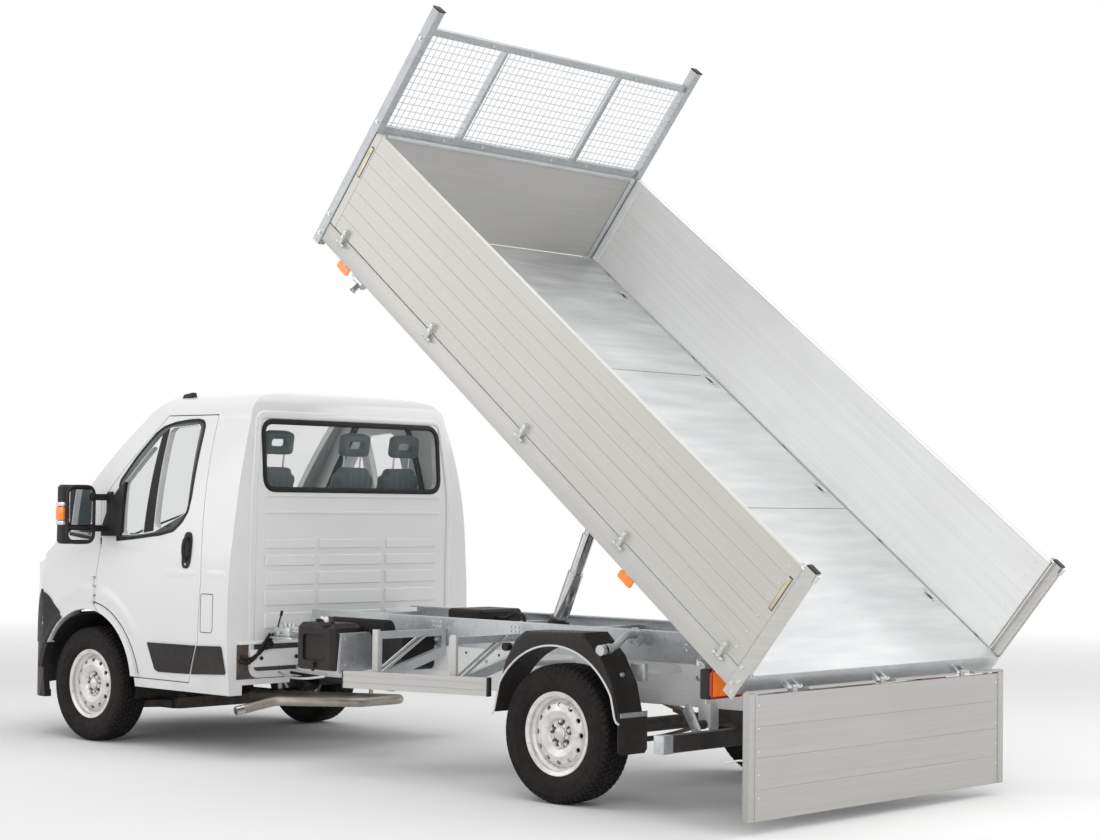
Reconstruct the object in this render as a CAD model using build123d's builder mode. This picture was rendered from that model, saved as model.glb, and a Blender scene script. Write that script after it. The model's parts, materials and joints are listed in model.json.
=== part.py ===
from build123d import *
import os
from math import cos, radians, sin

# Dump truck on a medium van chassis cab. All lengths are in millimetres.
# X points forward, Y to the left and Z up. Z = 0 is the ground.
# Stations along the vehicle are measured from the front axle, rearward negative.

os.makedirs("parts", exist_ok=True)

# Running gear
WHEELBASE = 4035
FRONT_TRACK = 1810
REAR_TRACK = 1790
TYRE_RADIUS = 365
TYRE_HALF_WIDTH = 108
RIM_SEAT_RADIUS = 203
RIM_FLANGE_RADIUS = 220
RIM_HALF_WIDTH = 86
KINGPIN_Y = 760

# Cab
NOSE_OVERHANG = 948
CAB_BACK = -1400
CAB_HALF_WIDTH = 1025
ROOF_HEIGHT = 2254
CAB_WALL = 45
SHUT_GAP = 6
SEAL_DEPTH = 11
SEAL_REACH = 22
SILL_HEIGHT = 380
FLOOR_HEIGHT = 600
FLOOR_TOP = FLOOR_HEIGHT + 30
ARCH_RADIUS = 480

# Ladder frame and the tipping subframe on it
RAIL_OUTER_Y = 460
RAIL_INNER_Y = 380
RAIL_TOP = 730
RAIL_STEP = 590
RAIL_BOTTOM = 500
RAIL_FRONT_BOTTOM = 460
SUBFRAME_TOP = 892
SUBFRAME_FRONT = -1520

# Bed, in its own frame: origin at the floor's rear edge, first axis along the floor
TIP_ANGLE = 38.43
BED_LENGTH = 3903
BED_WIDTH = 2300
BOARD_HEIGHT = 600
BOARD_THICKNESS = 28
PIVOT_STATION = -5024.5
PIVOT_HEIGHT = 856.5
PIVOT_IN_BED = 360
PIVOT_BELOW_FLOOR = 160
POST_SIZE = 60
POST_DROP = 150
REAR_POST_TOP = 630
HEADBOARD_TOP = 1280
FRONT_POST_TOP = 1390
RUNNING_GAP = 6
SEAT_GAP = 0.3

tip = radians(TIP_ANGLE)
BED_REAR = PIVOT_STATION - PIVOT_IN_BED * cos(tip) - PIVOT_BELOW_FLOOR * sin(tip)
BED_REAR_HEIGHT = PIVOT_HEIGHT - PIVOT_IN_BED * sin(tip) + PIVOT_BELOW_FLOOR * cos(tip)
REAR_REACH = BED_REAR - REAR_POST_TOP * sin(tip)
FRONT_AXLE_X = -(NOSE_OVERHANG + REAR_REACH) / 2
REAR_AXLE = -WHEELBASE


def station(dx):
    return FRONT_AXLE_X + dx


def side_plane(y):
    return Plane(origin=(0, y, 0), x_dir=(1, 0, 0), z_dir=(0, -1, 0))


def cross_plane(dx):
    return Plane(origin=(station(dx), 0, 0), x_dir=(0, 1, 0), z_dir=(1, 0, 0))


BED = Plane(
    origin=(station(BED_REAR), 0, BED_REAR_HEIGHT),
    x_dir=(cos(tip), 0, sin(tip)),
    z_dir=(-sin(tip), 0, cos(tip)),
)


def bed_point(along, y, above):
    return BED.from_local_coords(Vector(along, y, above))


def bed_side_plane(y):
    return Plane(origin=bed_point(0, y, 0), x_dir=BED.x_dir, z_dir=(0, -1, 0))


def bed_cross_plane(along):
    return Plane(origin=bed_point(along, 0, 0), x_dir=(0, 1, 0), z_dir=BED.x_dir)


def bed_level_plane(above):
    return BED.offset(above)


def shifted(points):
    """Stations to frame positions, for outlines drawn in the side view."""
    return [(station(x), z) for x, z in points]


def save(piece, name):
    piece.part.label = name
    export_step(piece.part, f"parts/{name}.step")


# Wheels: one row per corner, named columns station, side, track
CORNERS = {
    "front_left": (0, 1, FRONT_TRACK),
    "front_right": (0, -1, FRONT_TRACK),
    "rear_left": (REAR_AXLE, 1, REAR_TRACK),
    "rear_right": (REAR_AXLE, -1, REAR_TRACK),
}


def wheel_plane(axle, side, track):
    """First axis points outboard along the axle, second axis up."""
    centre = (station(axle), side * track / 2, TYRE_RADIUS)
    return Plane(origin=centre, x_dir=(0, side, 0), z_dir=(side, 0, 0))


def build_tyre(corner, axle, side, track):
    plane = wheel_plane(axle, side, track)
    bead = RIM_SEAT_RADIUS + SEAT_GAP
    half = TYRE_HALF_WIDTH
    with BuildPart() as tyre:
        with BuildSketch(plane):
            with BuildLine():
                tread = ThreePointArc(
                    (-half + 22, TYRE_RADIUS - 5), (0, TYRE_RADIUS), (half - 22, TYRE_RADIUS - 5)
                )
                shoulder = ThreePointArc(tread @ 1, (half - 5, TYRE_RADIUS - 22), (half, 295))
                wall = ThreePointArc(shoulder @ 1, (half - 6, 255), (RIM_HALF_WIDTH - 7, 222))
                heel = Line(wall @ 1, (RIM_HALF_WIDTH - 9, bead))
                toe = Line(heel @ 1, (RIM_HALF_WIDTH - 30, bead))
                inner = Polyline(
                    toe @ 1,
                    (RIM_HALF_WIDTH - 26, 228),
                    (half - 16, 290),
                    (half - 30, 342),
                    (30 - half, 342),
                    (16 - half, 290),
                    (26 - RIM_HALF_WIDTH, 228),
                    (30 - RIM_HALF_WIDTH, bead),
                )
                toe2 = Line(inner @ 1, (9 - RIM_HALF_WIDTH, bead))
                heel2 = Line(toe2 @ 1, (7 - RIM_HALF_WIDTH, 222))
                wall2 = ThreePointArc(heel2 @ 1, (6 - half, 255), (-half, 295))
                ThreePointArc(wall2 @ 1, (5 - half, TYRE_RADIUS - 22), tread @ 0)
            make_face()
        revolve(axis=Axis(plane.origin, (0, side, 0)))
    save(tyre, f"tyre_{corner}")


RIM_HOLES = 12


def build_rim(corner, axle, side, track):
    plane = wheel_plane(axle, side, track)
    w = RIM_HALF_WIDTH
    # barrel and disc outline, columns: distance outboard, radius
    outline = [
        (-w, RIM_FLANGE_RADIUS),
        (-w, RIM_SEAT_RADIUS - 6),
        (-w + 40, RIM_SEAT_RADIUS - 10),
        (-w + 60, 178),
        (20, 178),
        (22, 168),
        (52, 150),
        (60, 120),
        (54, 84),
        (38, 76),
        (38, 0),
        (46, 0),
        (46, 72),
        (62, 84),
        (70, 120),
        (61, 156),
        (34, 178),
        (w - 40, 184),
        (w - 30, RIM_SEAT_RADIUS - 6),
        (w - 6, RIM_SEAT_RADIUS - 6),
        (w, RIM_FLANGE_RADIUS - 4),
        (w, RIM_FLANGE_RADIUS),
        (w - 6, RIM_FLANGE_RADIUS),
        (w - 6, RIM_SEAT_RADIUS),
        (w - 36, RIM_SEAT_RADIUS),
        (w - 46, 190),
        (-w + 66, 190),
        (-w + 46, RIM_SEAT_RADIUS),
        (-w + 6, RIM_SEAT_RADIUS),
        (-w + 6, RIM_FLANGE_RADIUS),
    ]
    with BuildPart() as rim:
        with BuildSketch(plane):
            Polygon(*outline, align=None)
        revolve(axis=Axis(plane.origin, (0, side, 0)))
        face = Plane(origin=plane.origin, x_dir=(1, 0, 0), z_dir=(0, side, 0))
        with BuildSketch(face.offset(40)):
            with PolarLocations(150, RIM_HOLES):
                Ellipse(11, 15)
        extrude(amount=40, mode=Mode.SUBTRACT)
        with BuildSketch(face.offset(46)):
            Circle(36)
        extrude(amount=14, taper=6)
        with BuildSketch(face.offset(46)):
            with PolarLocations(52, 5, start_angle=90):
                RegularPolygon(11, 6)
        extrude(amount=12)
    save(rim, f"rim_{corner}")


for corner, (axle, side, track) in CORNERS.items():
    build_tyre(corner, axle, side, track)
    build_rim(corner, axle, side, track)

# Steering knuckles: hub, upright and steering arm inboard of each front wheel
HUB_FACE = FRONT_TRACK / 2 + 38


KNUCKLE_HEIGHT = 300
STUD_LENGTH = 20


def build_knuckle(side):
    name = "knuckle_left" if side > 0 else "knuckle_right"
    wheel = Plane(
        origin=(station(0), side * (HUB_FACE - SEAT_GAP), TYRE_RADIUS), x_dir=(1, 0, 0), z_dir=(0, -side, 0)
    )
    with BuildPart() as knuckle:
        with BuildSketch(wheel):
            Circle(70)
        extrude(amount=30)
        with BuildSketch(wheel.offset(30)):
            Circle(46)
        extrude(amount=HUB_FACE - KINGPIN_Y - 30)
        with BuildSketch(wheel.offset(40)):
            Circle(140)
        extrude(amount=22)
        with BuildSketch(Plane(origin=(station(0), side * KINGPIN_Y, TYRE_RADIUS - 120))):
            RectangleRounded(90, 56, 16)
        extrude(amount=KNUCKLE_HEIGHT)
        # ball joint studs on the steering axis, above and below
        with BuildSketch(Plane(origin=(station(0), side * KINGPIN_Y, TYRE_RADIUS - 120 - STUD_LENGTH))):
            Circle(16)
        extrude(amount=KNUCKLE_HEIGHT + 2 * STUD_LENGTH)
    save(knuckle, name)


for side in (1, -1):
    build_knuckle(side)


# Front suspension cradle: cross member with a wishbone and a strut on each side
STRUT_FOOT = TYRE_RADIUS - 120 + KNUCKLE_HEIGHT + 12
STRUT_LENGTH = 262
with BuildPart() as front_suspension:
    with BuildSketch(Plane.XY.offset(190)):
        with Locations((station(-40), 0)):
            RectangleRounded(420, 960, 60)
        with Locations((station(-40), 0)):
            Rectangle(220, 640, mode=Mode.SUBTRACT)
    extrude(amount=70)
    with BuildSketch(Plane.XY.offset(200)):
        Polygon(
            (station(-200), 470), (station(120), 470), (station(30), KINGPIN_Y + 26),
            (station(-30), KINGPIN_Y + 26), align=None,
        )
        with Locations((station(0), KINGPIN_Y)):
            Circle(16 + SEAT_GAP, mode=Mode.SUBTRACT)
    extrude(amount=45 - SEAT_GAP)
    # posts up to the rails
    for dx in (-200, 120):
        with BuildSketch(Plane.XY.offset(250)):
            with Locations((station(dx), (RAIL_OUTER_Y + RAIL_INNER_Y) / 2)):
                RectangleRounded(70, 60, 10)
        extrude(amount=RAIL_FRONT_BOTTOM - SEAT_GAP - 250)
    strut = Plane(origin=(station(0), KINGPIN_Y - 6, STRUT_FOOT), x_dir=(1, 0, 0), z_dir=(0, -0.29, 1))
    for start, radius, length in ((0, 26, 110), (109, 58, STRUT_LENGTH - 109)):
        with BuildSketch(strut.offset(start)):
            Circle(radius)
        extrude(amount=length)
    # foot around the knuckle's upper stud
    with BuildSketch(Plane.XY.offset(TYRE_RADIUS - 120 + KNUCKLE_HEIGHT + SEAT_GAP)):
        with Locations((station(0), KINGPIN_Y)):
            Circle(34)
    extrude(amount=34)
    with BuildSketch(Plane.XY.offset(TYRE_RADIUS - 120 + KNUCKLE_HEIGHT)):
        with Locations((station(0), KINGPIN_Y)):
            Circle(16 + SEAT_GAP)
    extrude(amount=STUD_LENGTH + 2 * SEAT_GAP, mode=Mode.SUBTRACT)
    mirror(about=Plane.XZ)
save(front_suspension, "front_suspension")

# Rear beam axle with hub ends, and the leaf springs under it
SPRING_Y = 560
REAR_HUB_FACE = REAR_TRACK / 2 + 38
with BuildPart() as rear_axle:
    with BuildSketch(side_plane(0)):
        with Locations((station(REAR_AXLE), TYRE_RADIUS)):
            Circle(40)
    extrude(amount=REAR_HUB_FACE - 60, both=True)
    for reach, radius, length in ((REAR_HUB_FACE - SEAT_GAP, 70, 60), (REAR_HUB_FACE - 60, 120, 24)):
        with BuildSketch(side_plane(reach)):
            with Locations((station(REAR_AXLE), TYRE_RADIUS)):
                Circle(radius)
        extrude(amount=length)
        with BuildSketch(side_plane(-reach)):
            with Locations((station(REAR_AXLE), TYRE_RADIUS)):
                Circle(radius)
        extrude(amount=-length)
save(rear_axle, "rear_axle")

SPRING_HALF_LENGTH = 620
SPRING_EYE_HEIGHT = 440
SPRING_WIDTH = 70
with BuildPart() as leaf_springs:
    for layer, share in enumerate((1.0, 0.72)):
        low = TYRE_RADIUS - 40 - SEAT_GAP - 14 * layer
        rise = (SPRING_EYE_HEIGHT - TYRE_RADIUS + 40) * share ** 2
        reach = SPRING_HALF_LENGTH * share
        with BuildSketch(side_plane(SPRING_Y + SPRING_WIDTH / 2)):
            with BuildLine():
                top = ThreePointArc(
                    (station(REAR_AXLE - reach), low + rise),
                    (station(REAR_AXLE), low),
                    (station(REAR_AXLE + reach), low + rise),
                )
                front_end = Line(top @ 1, (station(REAR_AXLE + reach), low + rise - 14))
                bottom = ThreePointArc(
                    front_end @ 1,
                    (station(REAR_AXLE), low - 14),
                    (station(REAR_AXLE - reach), low + rise - 14),
                )
                Line(bottom @ 1, top @ 0)
            make_face()
        extrude(amount=SPRING_WIDTH)
    for end in (-1, 1):
        with BuildSketch(side_plane(SPRING_Y + SPRING_WIDTH / 2)):
            with Locations((station(REAR_AXLE + end * SPRING_HALF_LENGTH), SPRING_EYE_HEIGHT - 8)):
                Circle(24)
        extrude(amount=SPRING_WIDTH)
    mirror(about=Plane.XZ)
save(leaf_springs, "leaf_springs")

# Rear mudguards and the things behind the cab that hang on the frame
GUARD_OUTER_Y = 1000
GUARD_INNER_Y = 790
# tube centres, columns: distance ahead of the rear axle, height
GUARD_TUBES = ((355, 700), (-405, 700))
CANISTER_STATION = -2165
CANISTER_LENGTH = 330
CANISTER_Y = 890
CANISTER_BOTTOM = 585

# Ladder frame: two side rails with a lower flange, joined by cross members
FRAME_REAR = -5050
RAIL_RISE = 15
CROSS_MEMBERS = (-620, -1500, -2330, -3700, -4420, -5010)
with BuildPart() as chassis_frame:
    with BuildSketch(side_plane(RAIL_OUTER_Y)):
        Polygon(
            *shifted([
                (FRAME_REAR, RAIL_TOP), (-1450, RAIL_TOP), (-1450, RAIL_STEP - 10), (-560, RAIL_STEP - 10),
                (-400, 560), (560, 560), (560, RAIL_FRONT_BOTTOM), (-400, RAIL_FRONT_BOTTOM), (-560, 480),
                (-3400, RAIL_BOTTOM), (FRAME_REAR, RAIL_BOTTOM + RAIL_RISE),
            ]),
            align=None,
        )
    extrude(amount=RAIL_OUTER_Y - RAIL_INNER_Y)
    with BuildSketch(side_plane(RAIL_OUTER_Y + 8)):
        Polygon(
            *shifted([(FRAME_REAR, RAIL_STEP), (-1450, RAIL_STEP), (-1450, 488), (-3400, 508), (FRAME_REAR, 523)]),
            align=None,
        )
    extrude(amount=8)
    mirror(about=Plane.XZ)
    for place in CROSS_MEMBERS:
        with BuildSketch(cross_plane(place)):
            with Locations((0, 540)):
                Rectangle(2 * RAIL_INNER_Y, 70)
        extrude(amount=60)
    for side in (1, -1):
        with BuildSketch(cross_plane(FRAME_REAR + 2)):
            with Locations((side * (RAIL_OUTER_Y + 1000) / 2, 650)):
                Rectangle(1000 - RAIL_OUTER_Y, 60)
        extrude(amount=10)
        for dx, height in GUARD_TUBES:
            with BuildSketch(side_plane(side * (GUARD_INNER_Y - SEAT_GAP))):
                with Locations((station(REAR_AXLE + dx), height)):
                    Circle(14)
            extrude(amount=side * (GUARD_INNER_Y - SEAT_GAP - RAIL_OUTER_Y + 4))
        for end in (-1, 1):
            with BuildSketch(side_plane(side * (SPRING_Y - SPRING_WIDTH / 2 - SEAT_GAP))):
                with Locations((station(REAR_AXLE + end * SPRING_HALF_LENGTH), 480)):
                    Rectangle(80, 130)
            extrude(amount=side * (SPRING_Y - SPRING_WIDTH / 2 - SEAT_GAP - RAIL_OUTER_Y + 4))
    # tapered outrigger with the canister's shelf, on the left
    with BuildSketch(cross_plane(CANISTER_STATION - CANISTER_LENGTH / 2 - 12)):
        Polygon(
            (RAIL_OUTER_Y - 4, 600), (CANISTER_Y, CANISTER_BOTTOM - 12), (CANISTER_Y + 90, CANISTER_BOTTOM - 12),
            (CANISTER_Y + 70, 800), (RAIL_OUTER_Y - 4, RAIL_TOP), align=None,
        )
    extrude(amount=8)
    with BuildSketch(Plane.XY.offset(CANISTER_BOTTOM - SEAT_GAP - 8)):
        with Locations((station(CANISTER_STATION), CANISTER_Y)):
            Rectangle(CANISTER_LENGTH + 20, 150)
    extrude(amount=8)
save(chassis_frame, "chassis_frame")

# Cylinder: trunnion in the subframe, four stages, an eye under the bed's floor
EYE_IN_BED = 2160
EYE_BELOW_FLOOR = 70
TRUNNION_HEIGHT = 460
COLLAR_HEIGHT = 900
LINE_SLOPE = 0.4372
eye = bed_point(EYE_IN_BED, 0, -EYE_BELOW_FLOOR)
trunnion = Vector(eye.X + (eye.Z - TRUNNION_HEIGHT) * LINE_SLOPE, 0, TRUNNION_HEIGHT)
ram_length = (eye - trunnion).length
ram_axis = (eye - trunnion) * (1 / ram_length)


def ram_plane(distance):
    return Plane(origin=trunnion + ram_axis * distance, x_dir=(0, 1, 0), z_dir=ram_axis)


TRUNNION_STATION = trunnion.X - FRONT_AXLE_X
COLLAR_TOP = (COLLAR_HEIGHT - TRUNNION_HEIGHT) / ram_axis.Z
CRADLE_Y = 90
SHAFT_RADIUS = 20
with BuildPart() as subframe:
    with BuildSketch(side_plane(RAIL_OUTER_Y - 4)):
        with BuildLine():
            nose = Polyline(
                (station(PIVOT_STATION - 35), PIVOT_HEIGHT),
                (station(PIVOT_STATION - 35), RAIL_TOP + SEAT_GAP),
                (station(SUBFRAME_FRONT), RAIL_TOP + SEAT_GAP),
                (station(SUBFRAME_FRONT), SUBFRAME_TOP),
                (station(PIVOT_STATION), SUBFRAME_TOP),
            )
            RadiusArc(nose @ 1, nose @ 0, -35.3)
        make_face()
    extrude(amount=70)
    with BuildSketch(cross_plane(SUBFRAME_FRONT + 1)):
        with Locations((RAIL_OUTER_Y - 4 - 70 / 2 - 5, (SUBFRAME_TOP + RAIL_TOP) / 2)):
            Rectangle(60.2, SUBFRAME_TOP - RAIL_TOP - 16)
    extrude(amount=PIVOT_STATION + 120 - SUBFRAME_FRONT, mode=Mode.SUBTRACT)
    mirror(about=Plane.XZ)
    for place in (-1560, -2300, -2760, -3420, -4200, -4700):
        with BuildSketch(cross_plane(place)):
            with Locations((0, (SUBFRAME_TOP + RAIL_TOP) / 2)):
                Rectangle(2 * (RAIL_OUTER_Y - 12), 90)
        extrude(amount=50)
    for side in (1, -1):
        with BuildSketch(side_plane(side * CRADLE_Y + 6)):
            Polygon(
                *shifted([(-2730, 850), (-3400, 850), (-3400, 800), (-3060, 400), (-2880, 400), (-2730, 760)]),
                align=None,
            )
            with Locations((trunnion.X, trunnion.Z)):
                Circle(18.4, mode=Mode.SUBTRACT)
        extrude(amount=12)
    with BuildSketch(side_plane(0)):
        with Locations((station(PIVOT_STATION), PIVOT_HEIGHT)):
            Circle(SHAFT_RADIUS)
    extrude(amount=510, both=True)
save(subframe, "subframe")

# Cylinder pieces, columns: name, outer radius, start of its tube, end of its tube
RAM_JOINTS = (COLLAR_TOP, 772, 1012, 1300)
STAGE_RADII = (46, 37.5, 29, 21)
with BuildPart() as ram_barrel:
    with BuildSketch(ram_plane(-40)):
        Circle(56)
    extrude(amount=COLLAR_TOP + 40 - 60)
    with BuildSketch(ram_plane(COLLAR_TOP - 60)):
        Circle(60)
    extrude(amount=60)
    with BuildSketch(ram_plane(-20)):
        Circle(STAGE_RADII[0] + 0.5)
    extrude(amount=COLLAR_TOP + 20, mode=Mode.SUBTRACT)
    for side in (1, -1):
        with BuildSketch(side_plane(side * (CRADLE_Y + 12))):
            with Locations((trunnion.X, trunnion.Z)):
                Circle(18)
        extrude(amount=side * (CRADLE_Y + 12 - 50))
save(ram_barrel, "ram_barrel")
STAGE_LENGTH = 400
for index, radius in enumerate(STAGE_RADII):
    last = index == len(STAGE_RADII) - 1
    head = RAM_JOINTS[index + 1] if not last else ram_length - 24
    start = head - STAGE_LENGTH if not last else ram_length - 480
    with BuildPart() as stage:
        with BuildSketch(ram_plane(start)):
            Circle(radius)
            if not last:
                Circle(STAGE_RADII[index + 1] + 0.5, mode=Mode.SUBTRACT)
        extrude(amount=head - start)
        if last:
            with BuildSketch(side_plane(27)):
                with Locations((eye.X, eye.Z)):
                    Circle(26)
            extrude(amount=54)
            with BuildSketch(side_plane(38)):
                with Locations((eye.X, eye.Z)):
                    Circle(14)
            extrude(amount=76)
    save(stage, f"ram_stage_{index + 1}")

# Bed: floor sheet, galvanised frame, posts and headboard
FLOOR_SHEET = 6
SIDE_RAIL_Y = BED_WIDTH / 2 - 8
SIDE_RAIL_DROP = 115
BED_RAIL_Y = 420
BED_RAIL_DROP = 118
FLOOR_FRONT = BED_LENGTH - POST_SIZE - 4
with BuildPart() as bed_floor:
    with BuildSketch(bed_level_plane(-FLOOR_SHEET)):
        with Locations((FLOOR_FRONT / 2, 0)):
            Rectangle(FLOOR_FRONT, 2 * (BED_WIDTH / 2 - 52))
    extrude(amount=FLOOR_SHEET)
save(bed_floor, "bed_floor")

# cross members under the floor: distance from the rear edge
EAR_LOW = -EYE_BELOW_FLOOR - 26
BED_BEARERS = (420, 860, 1300, 1740, 2560, 2980, 3400)
frame_top = -FLOOR_SHEET - SEAT_GAP
with BuildPart() as bed_frame:
    # side rails and long bearers, columns: centre y, width, depth
    for y, width, depth in (
        (SIDE_RAIL_Y - 22, 44, SIDE_RAIL_DROP),
        (BED_RAIL_Y, 60, BED_RAIL_DROP),
    ):
        for side in (1, -1):
            with BuildSketch(bed_cross_plane(0)):
                with Locations((side * y, (frame_top - depth) / 2)):
                    Rectangle(width, depth + frame_top)
            extrude(amount=BED_LENGTH - POST_SIZE - SEAT_GAP)
    for along in BED_BEARERS:
        with BuildSketch(bed_cross_plane(along)):
            with Locations((0, frame_top - 30)):
                Rectangle(2 * SIDE_RAIL_Y - 80, 60)
        extrude(amount=40)
    # rear and front cross members
    for along, width in ((0, 60), (BED_LENGTH - POST_SIZE - SEAT_GAP - 60, 60)):
        with BuildSketch(bed_cross_plane(along)):
            with Locations((0, (frame_top - 105) / 2)):
                Rectangle(2 * SIDE_RAIL_Y - 80, 105 + frame_top)
        extrude(amount=width)
    # ears for the cylinder's eye and for the tipping shaft
    for side in (1, -1):
        with BuildSketch(bed_side_plane(side * 50 + (8 if side > 0 else 0))):
            Polygon(
                (1780, frame_top), (2600, frame_top), (2600, -62), (2205, -62), (2172, EAR_LOW),
                (EYE_IN_BED - 34, EAR_LOW), (1780, -62), align=None,
            )
        extrude(amount=8)
        with BuildSketch(bed_side_plane(side * 484 + 8)):
            Polygon(
                (240, frame_top), (500, frame_top), (430, -160), (400, -200), (320, -200), (290, -160),
                align=None,
            )
            with Locations((PIVOT_IN_BED, -PIVOT_BELOW_FLOOR)):
                Circle(20.4, mode=Mode.SUBTRACT)
        extrude(amount=16)
save(bed_frame, "bed_frame")

POST_OUTER_Y = BED_WIDTH / 2
with BuildPart() as rear_posts:
    with BuildSketch(bed_side_plane(POST_OUTER_Y)):
        with Locations((35, (REAR_POST_TOP - POST_DROP) / 2)):
            Rectangle(70, REAR_POST_TOP + POST_DROP)
    extrude(amount=7.7)
    with BuildSketch(bed_side_plane(POST_OUTER_Y - 7.7)):
        with Locations((20, REAR_POST_TOP / 2)):
            Rectangle(30, REAR_POST_TOP)
    extrude(amount=34)
    mirror(about=Plane.XZ)
save(rear_posts, "rear_posts")

POST_BACK = BED_LENGTH - POST_SIZE
with BuildPart() as headboard_frame:
    with BuildSketch(bed_level_plane(-POST_DROP)):
        with Locations((BED_LENGTH - POST_SIZE / 2, POST_OUTER_Y - 25)):
            RectangleRounded(POST_SIZE, 50, 5)
    extrude(amount=FRONT_POST_TOP + POST_DROP)
    with BuildSketch(bed_cross_plane(BED_LENGTH - 45)):
        with Locations((0, 626), (0, HEADBOARD_TOP - 22)):
            Rectangle(2 * POST_OUTER_Y - 98, 40)
        with Locations((0, (626 + HEADBOARD_TOP) / 2 - 10)):
            with GridLocations(990, 0, 2, 1):
                Rectangle(30, HEADBOARD_TOP - 626)
    extrude(amount=30)
    mirror(about=Plane.XZ)
save(headboard_frame, "headboard_frame")

MESH_PITCH = 42
MESH_BOTTOM = 636
MESH_TOP = HEADBOARD_TOP - 30
MESH_HALF = POST_OUTER_Y - 50 - SEAT_GAP
with BuildPart() as headboard_mesh:
    columns = int(2 * MESH_HALF // MESH_PITCH)
    rows = int((MESH_TOP - MESH_BOTTOM) // MESH_PITCH)
    middle = (MESH_TOP + MESH_BOTTOM) / 2
    with BuildSketch(bed_cross_plane(BED_LENGTH - 48 - SEAT_GAP)):
        with Locations((0, middle)):
            with GridLocations(2 * MESH_HALF / columns, 0, columns - 1, 1):
                Rectangle(4, MESH_TOP - MESH_BOTTOM)
    extrude(amount=3)
    with BuildSketch(bed_cross_plane(BED_LENGTH - 51 - 2 * SEAT_GAP)):
        with Locations((0, middle)):
            with GridLocations(0, (MESH_TOP - MESH_BOTTOM) / rows, 1, rows - 1):
                Rectangle(2 * MESH_HALF, 4)
    extrude(amount=3)
save(headboard_mesh, "headboard_mesh")

with BuildPart() as bulkhead:
    with BuildSketch(bed_cross_plane(POST_BACK + 2)):
        with Locations((0, 303 + SEAT_GAP / 2)):
            Rectangle(2 * (POST_OUTER_Y - 50 - SEAT_GAP), 605 - SEAT_GAP)
    extrude(amount=26)
save(bulkhead, "bulkhead")

BOARD_REAR = 75
# plank joints: seven planks a board, four on the tailgate, each joint a shallow groove
BOARD_PLANKS = 7
GATE_PLANKS = 4
GROOVE_WIDTH = 3
GROOVE_DEPTH = 2
END_PROFILE_WIDTH = 48
END_PROFILE_LIP = 2
BOARD_FRONT = POST_BACK - RUNNING_GAP
BOARD_HINGES = (190, 1010, 1890, 2780, 3680)
BOARD_OUTER_Y = BED_WIDTH / 2 - 6
HINGE_Y = BED_WIDTH / 2 + 12
HINGE_DROP = 36
for side, name in ((1, "side_board_left"), (-1, "side_board_right")):
    with BuildPart() as board:
        with BuildSketch(bed_side_plane(BOARD_OUTER_Y)):
            with Locations(((BOARD_REAR + BOARD_FRONT) / 2, BOARD_HEIGHT / 2 + 4)):
                Rectangle(BOARD_FRONT - BOARD_REAR, BOARD_HEIGHT)
        extrude(amount=BOARD_THICKNESS)
        for plank in range(1, BOARD_PLANKS):
            with BuildSketch(bed_cross_plane(BOARD_REAR)):
                with Locations((BOARD_OUTER_Y, 4 + plank * BOARD_HEIGHT / BOARD_PLANKS)):
                    Rectangle(2 * GROOVE_DEPTH, GROOVE_WIDTH)
            extrude(amount=BOARD_FRONT - BOARD_REAR, mode=Mode.SUBTRACT)
        for end in (BOARD_REAR + END_PROFILE_WIDTH / 2, BOARD_FRONT - END_PROFILE_WIDTH / 2):
            with BuildSketch(bed_side_plane(BOARD_OUTER_Y + END_PROFILE_LIP)):
                with Locations((end, BOARD_HEIGHT / 2 + 4)):
                    Rectangle(END_PROFILE_WIDTH, BOARD_HEIGHT)
            extrude(amount=BOARD_THICKNESS + 2 * END_PROFILE_LIP)
        for along in BOARD_HINGES:
            with BuildSketch(bed_side_plane(HINGE_Y + 6)):
                with Locations((along, 22)):
                    Rectangle(24, 60)
            extrude(amount=HINGE_Y + 6 - BOARD_OUTER_Y)
            with BuildSketch(bed_cross_plane(along - 12)):
                with Locations((HINGE_Y, -HINGE_DROP)):
                    Circle(9)
                with Locations((HINGE_Y, -HINGE_DROP + 14)):
                    Rectangle(12, 30)
                with Locations((HINGE_Y, -HINGE_DROP)):
                    Circle(4.4, mode=Mode.SUBTRACT)
            extrude(amount=24)
        if side < 0:
            mirror(objects=board.part, about=Plane.XZ, mode=Mode.REPLACE)
    save(board, name)

# Tailgate, hanging from three hinges behind the rear cross member
GATE_HINGE = bed_point(-33.5, 0, -61.5)
GATE_HEIGHT = 623
GATE_HINGES_Y = (-760, 0, 760)
GATE_HALF_WIDTH = BED_WIDTH / 2 - 2
with BuildPart() as tailgate:
    with BuildSketch(side_plane(GATE_HALF_WIDTH)):
        with Locations((GATE_HINGE.X - 11, GATE_HINGE.Z - GATE_HEIGHT / 2 - 12)):
            Rectangle(BOARD_THICKNESS, GATE_HEIGHT - 24)
    extrude(amount=2 * GATE_HALF_WIDTH)
    for plank in range(1, GATE_PLANKS):
        with BuildSketch(side_plane(GATE_HALF_WIDTH)):
            with Locations((
                GATE_HINGE.X - 11 - BOARD_THICKNESS / 2,
                GATE_HINGE.Z - 24 - plank * (GATE_HEIGHT - 24) / GATE_PLANKS,
            )):
                Rectangle(2 * GROOVE_DEPTH, GROOVE_WIDTH)
        extrude(amount=2 * GATE_HALF_WIDTH, mode=Mode.SUBTRACT)
    for y in GATE_HINGES_Y:
        with BuildSketch(side_plane(y + 20)):
            with Locations((GATE_HINGE.X, GATE_HINGE.Z)):
                Circle(11)
            with Locations((GATE_HINGE.X - 4, GATE_HINGE.Z - 20)):
                Rectangle(10, 40)
            with Locations((GATE_HINGE.X, GATE_HINGE.Z)):
                Circle(5.4, mode=Mode.SUBTRACT)
        extrude(amount=40)
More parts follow.
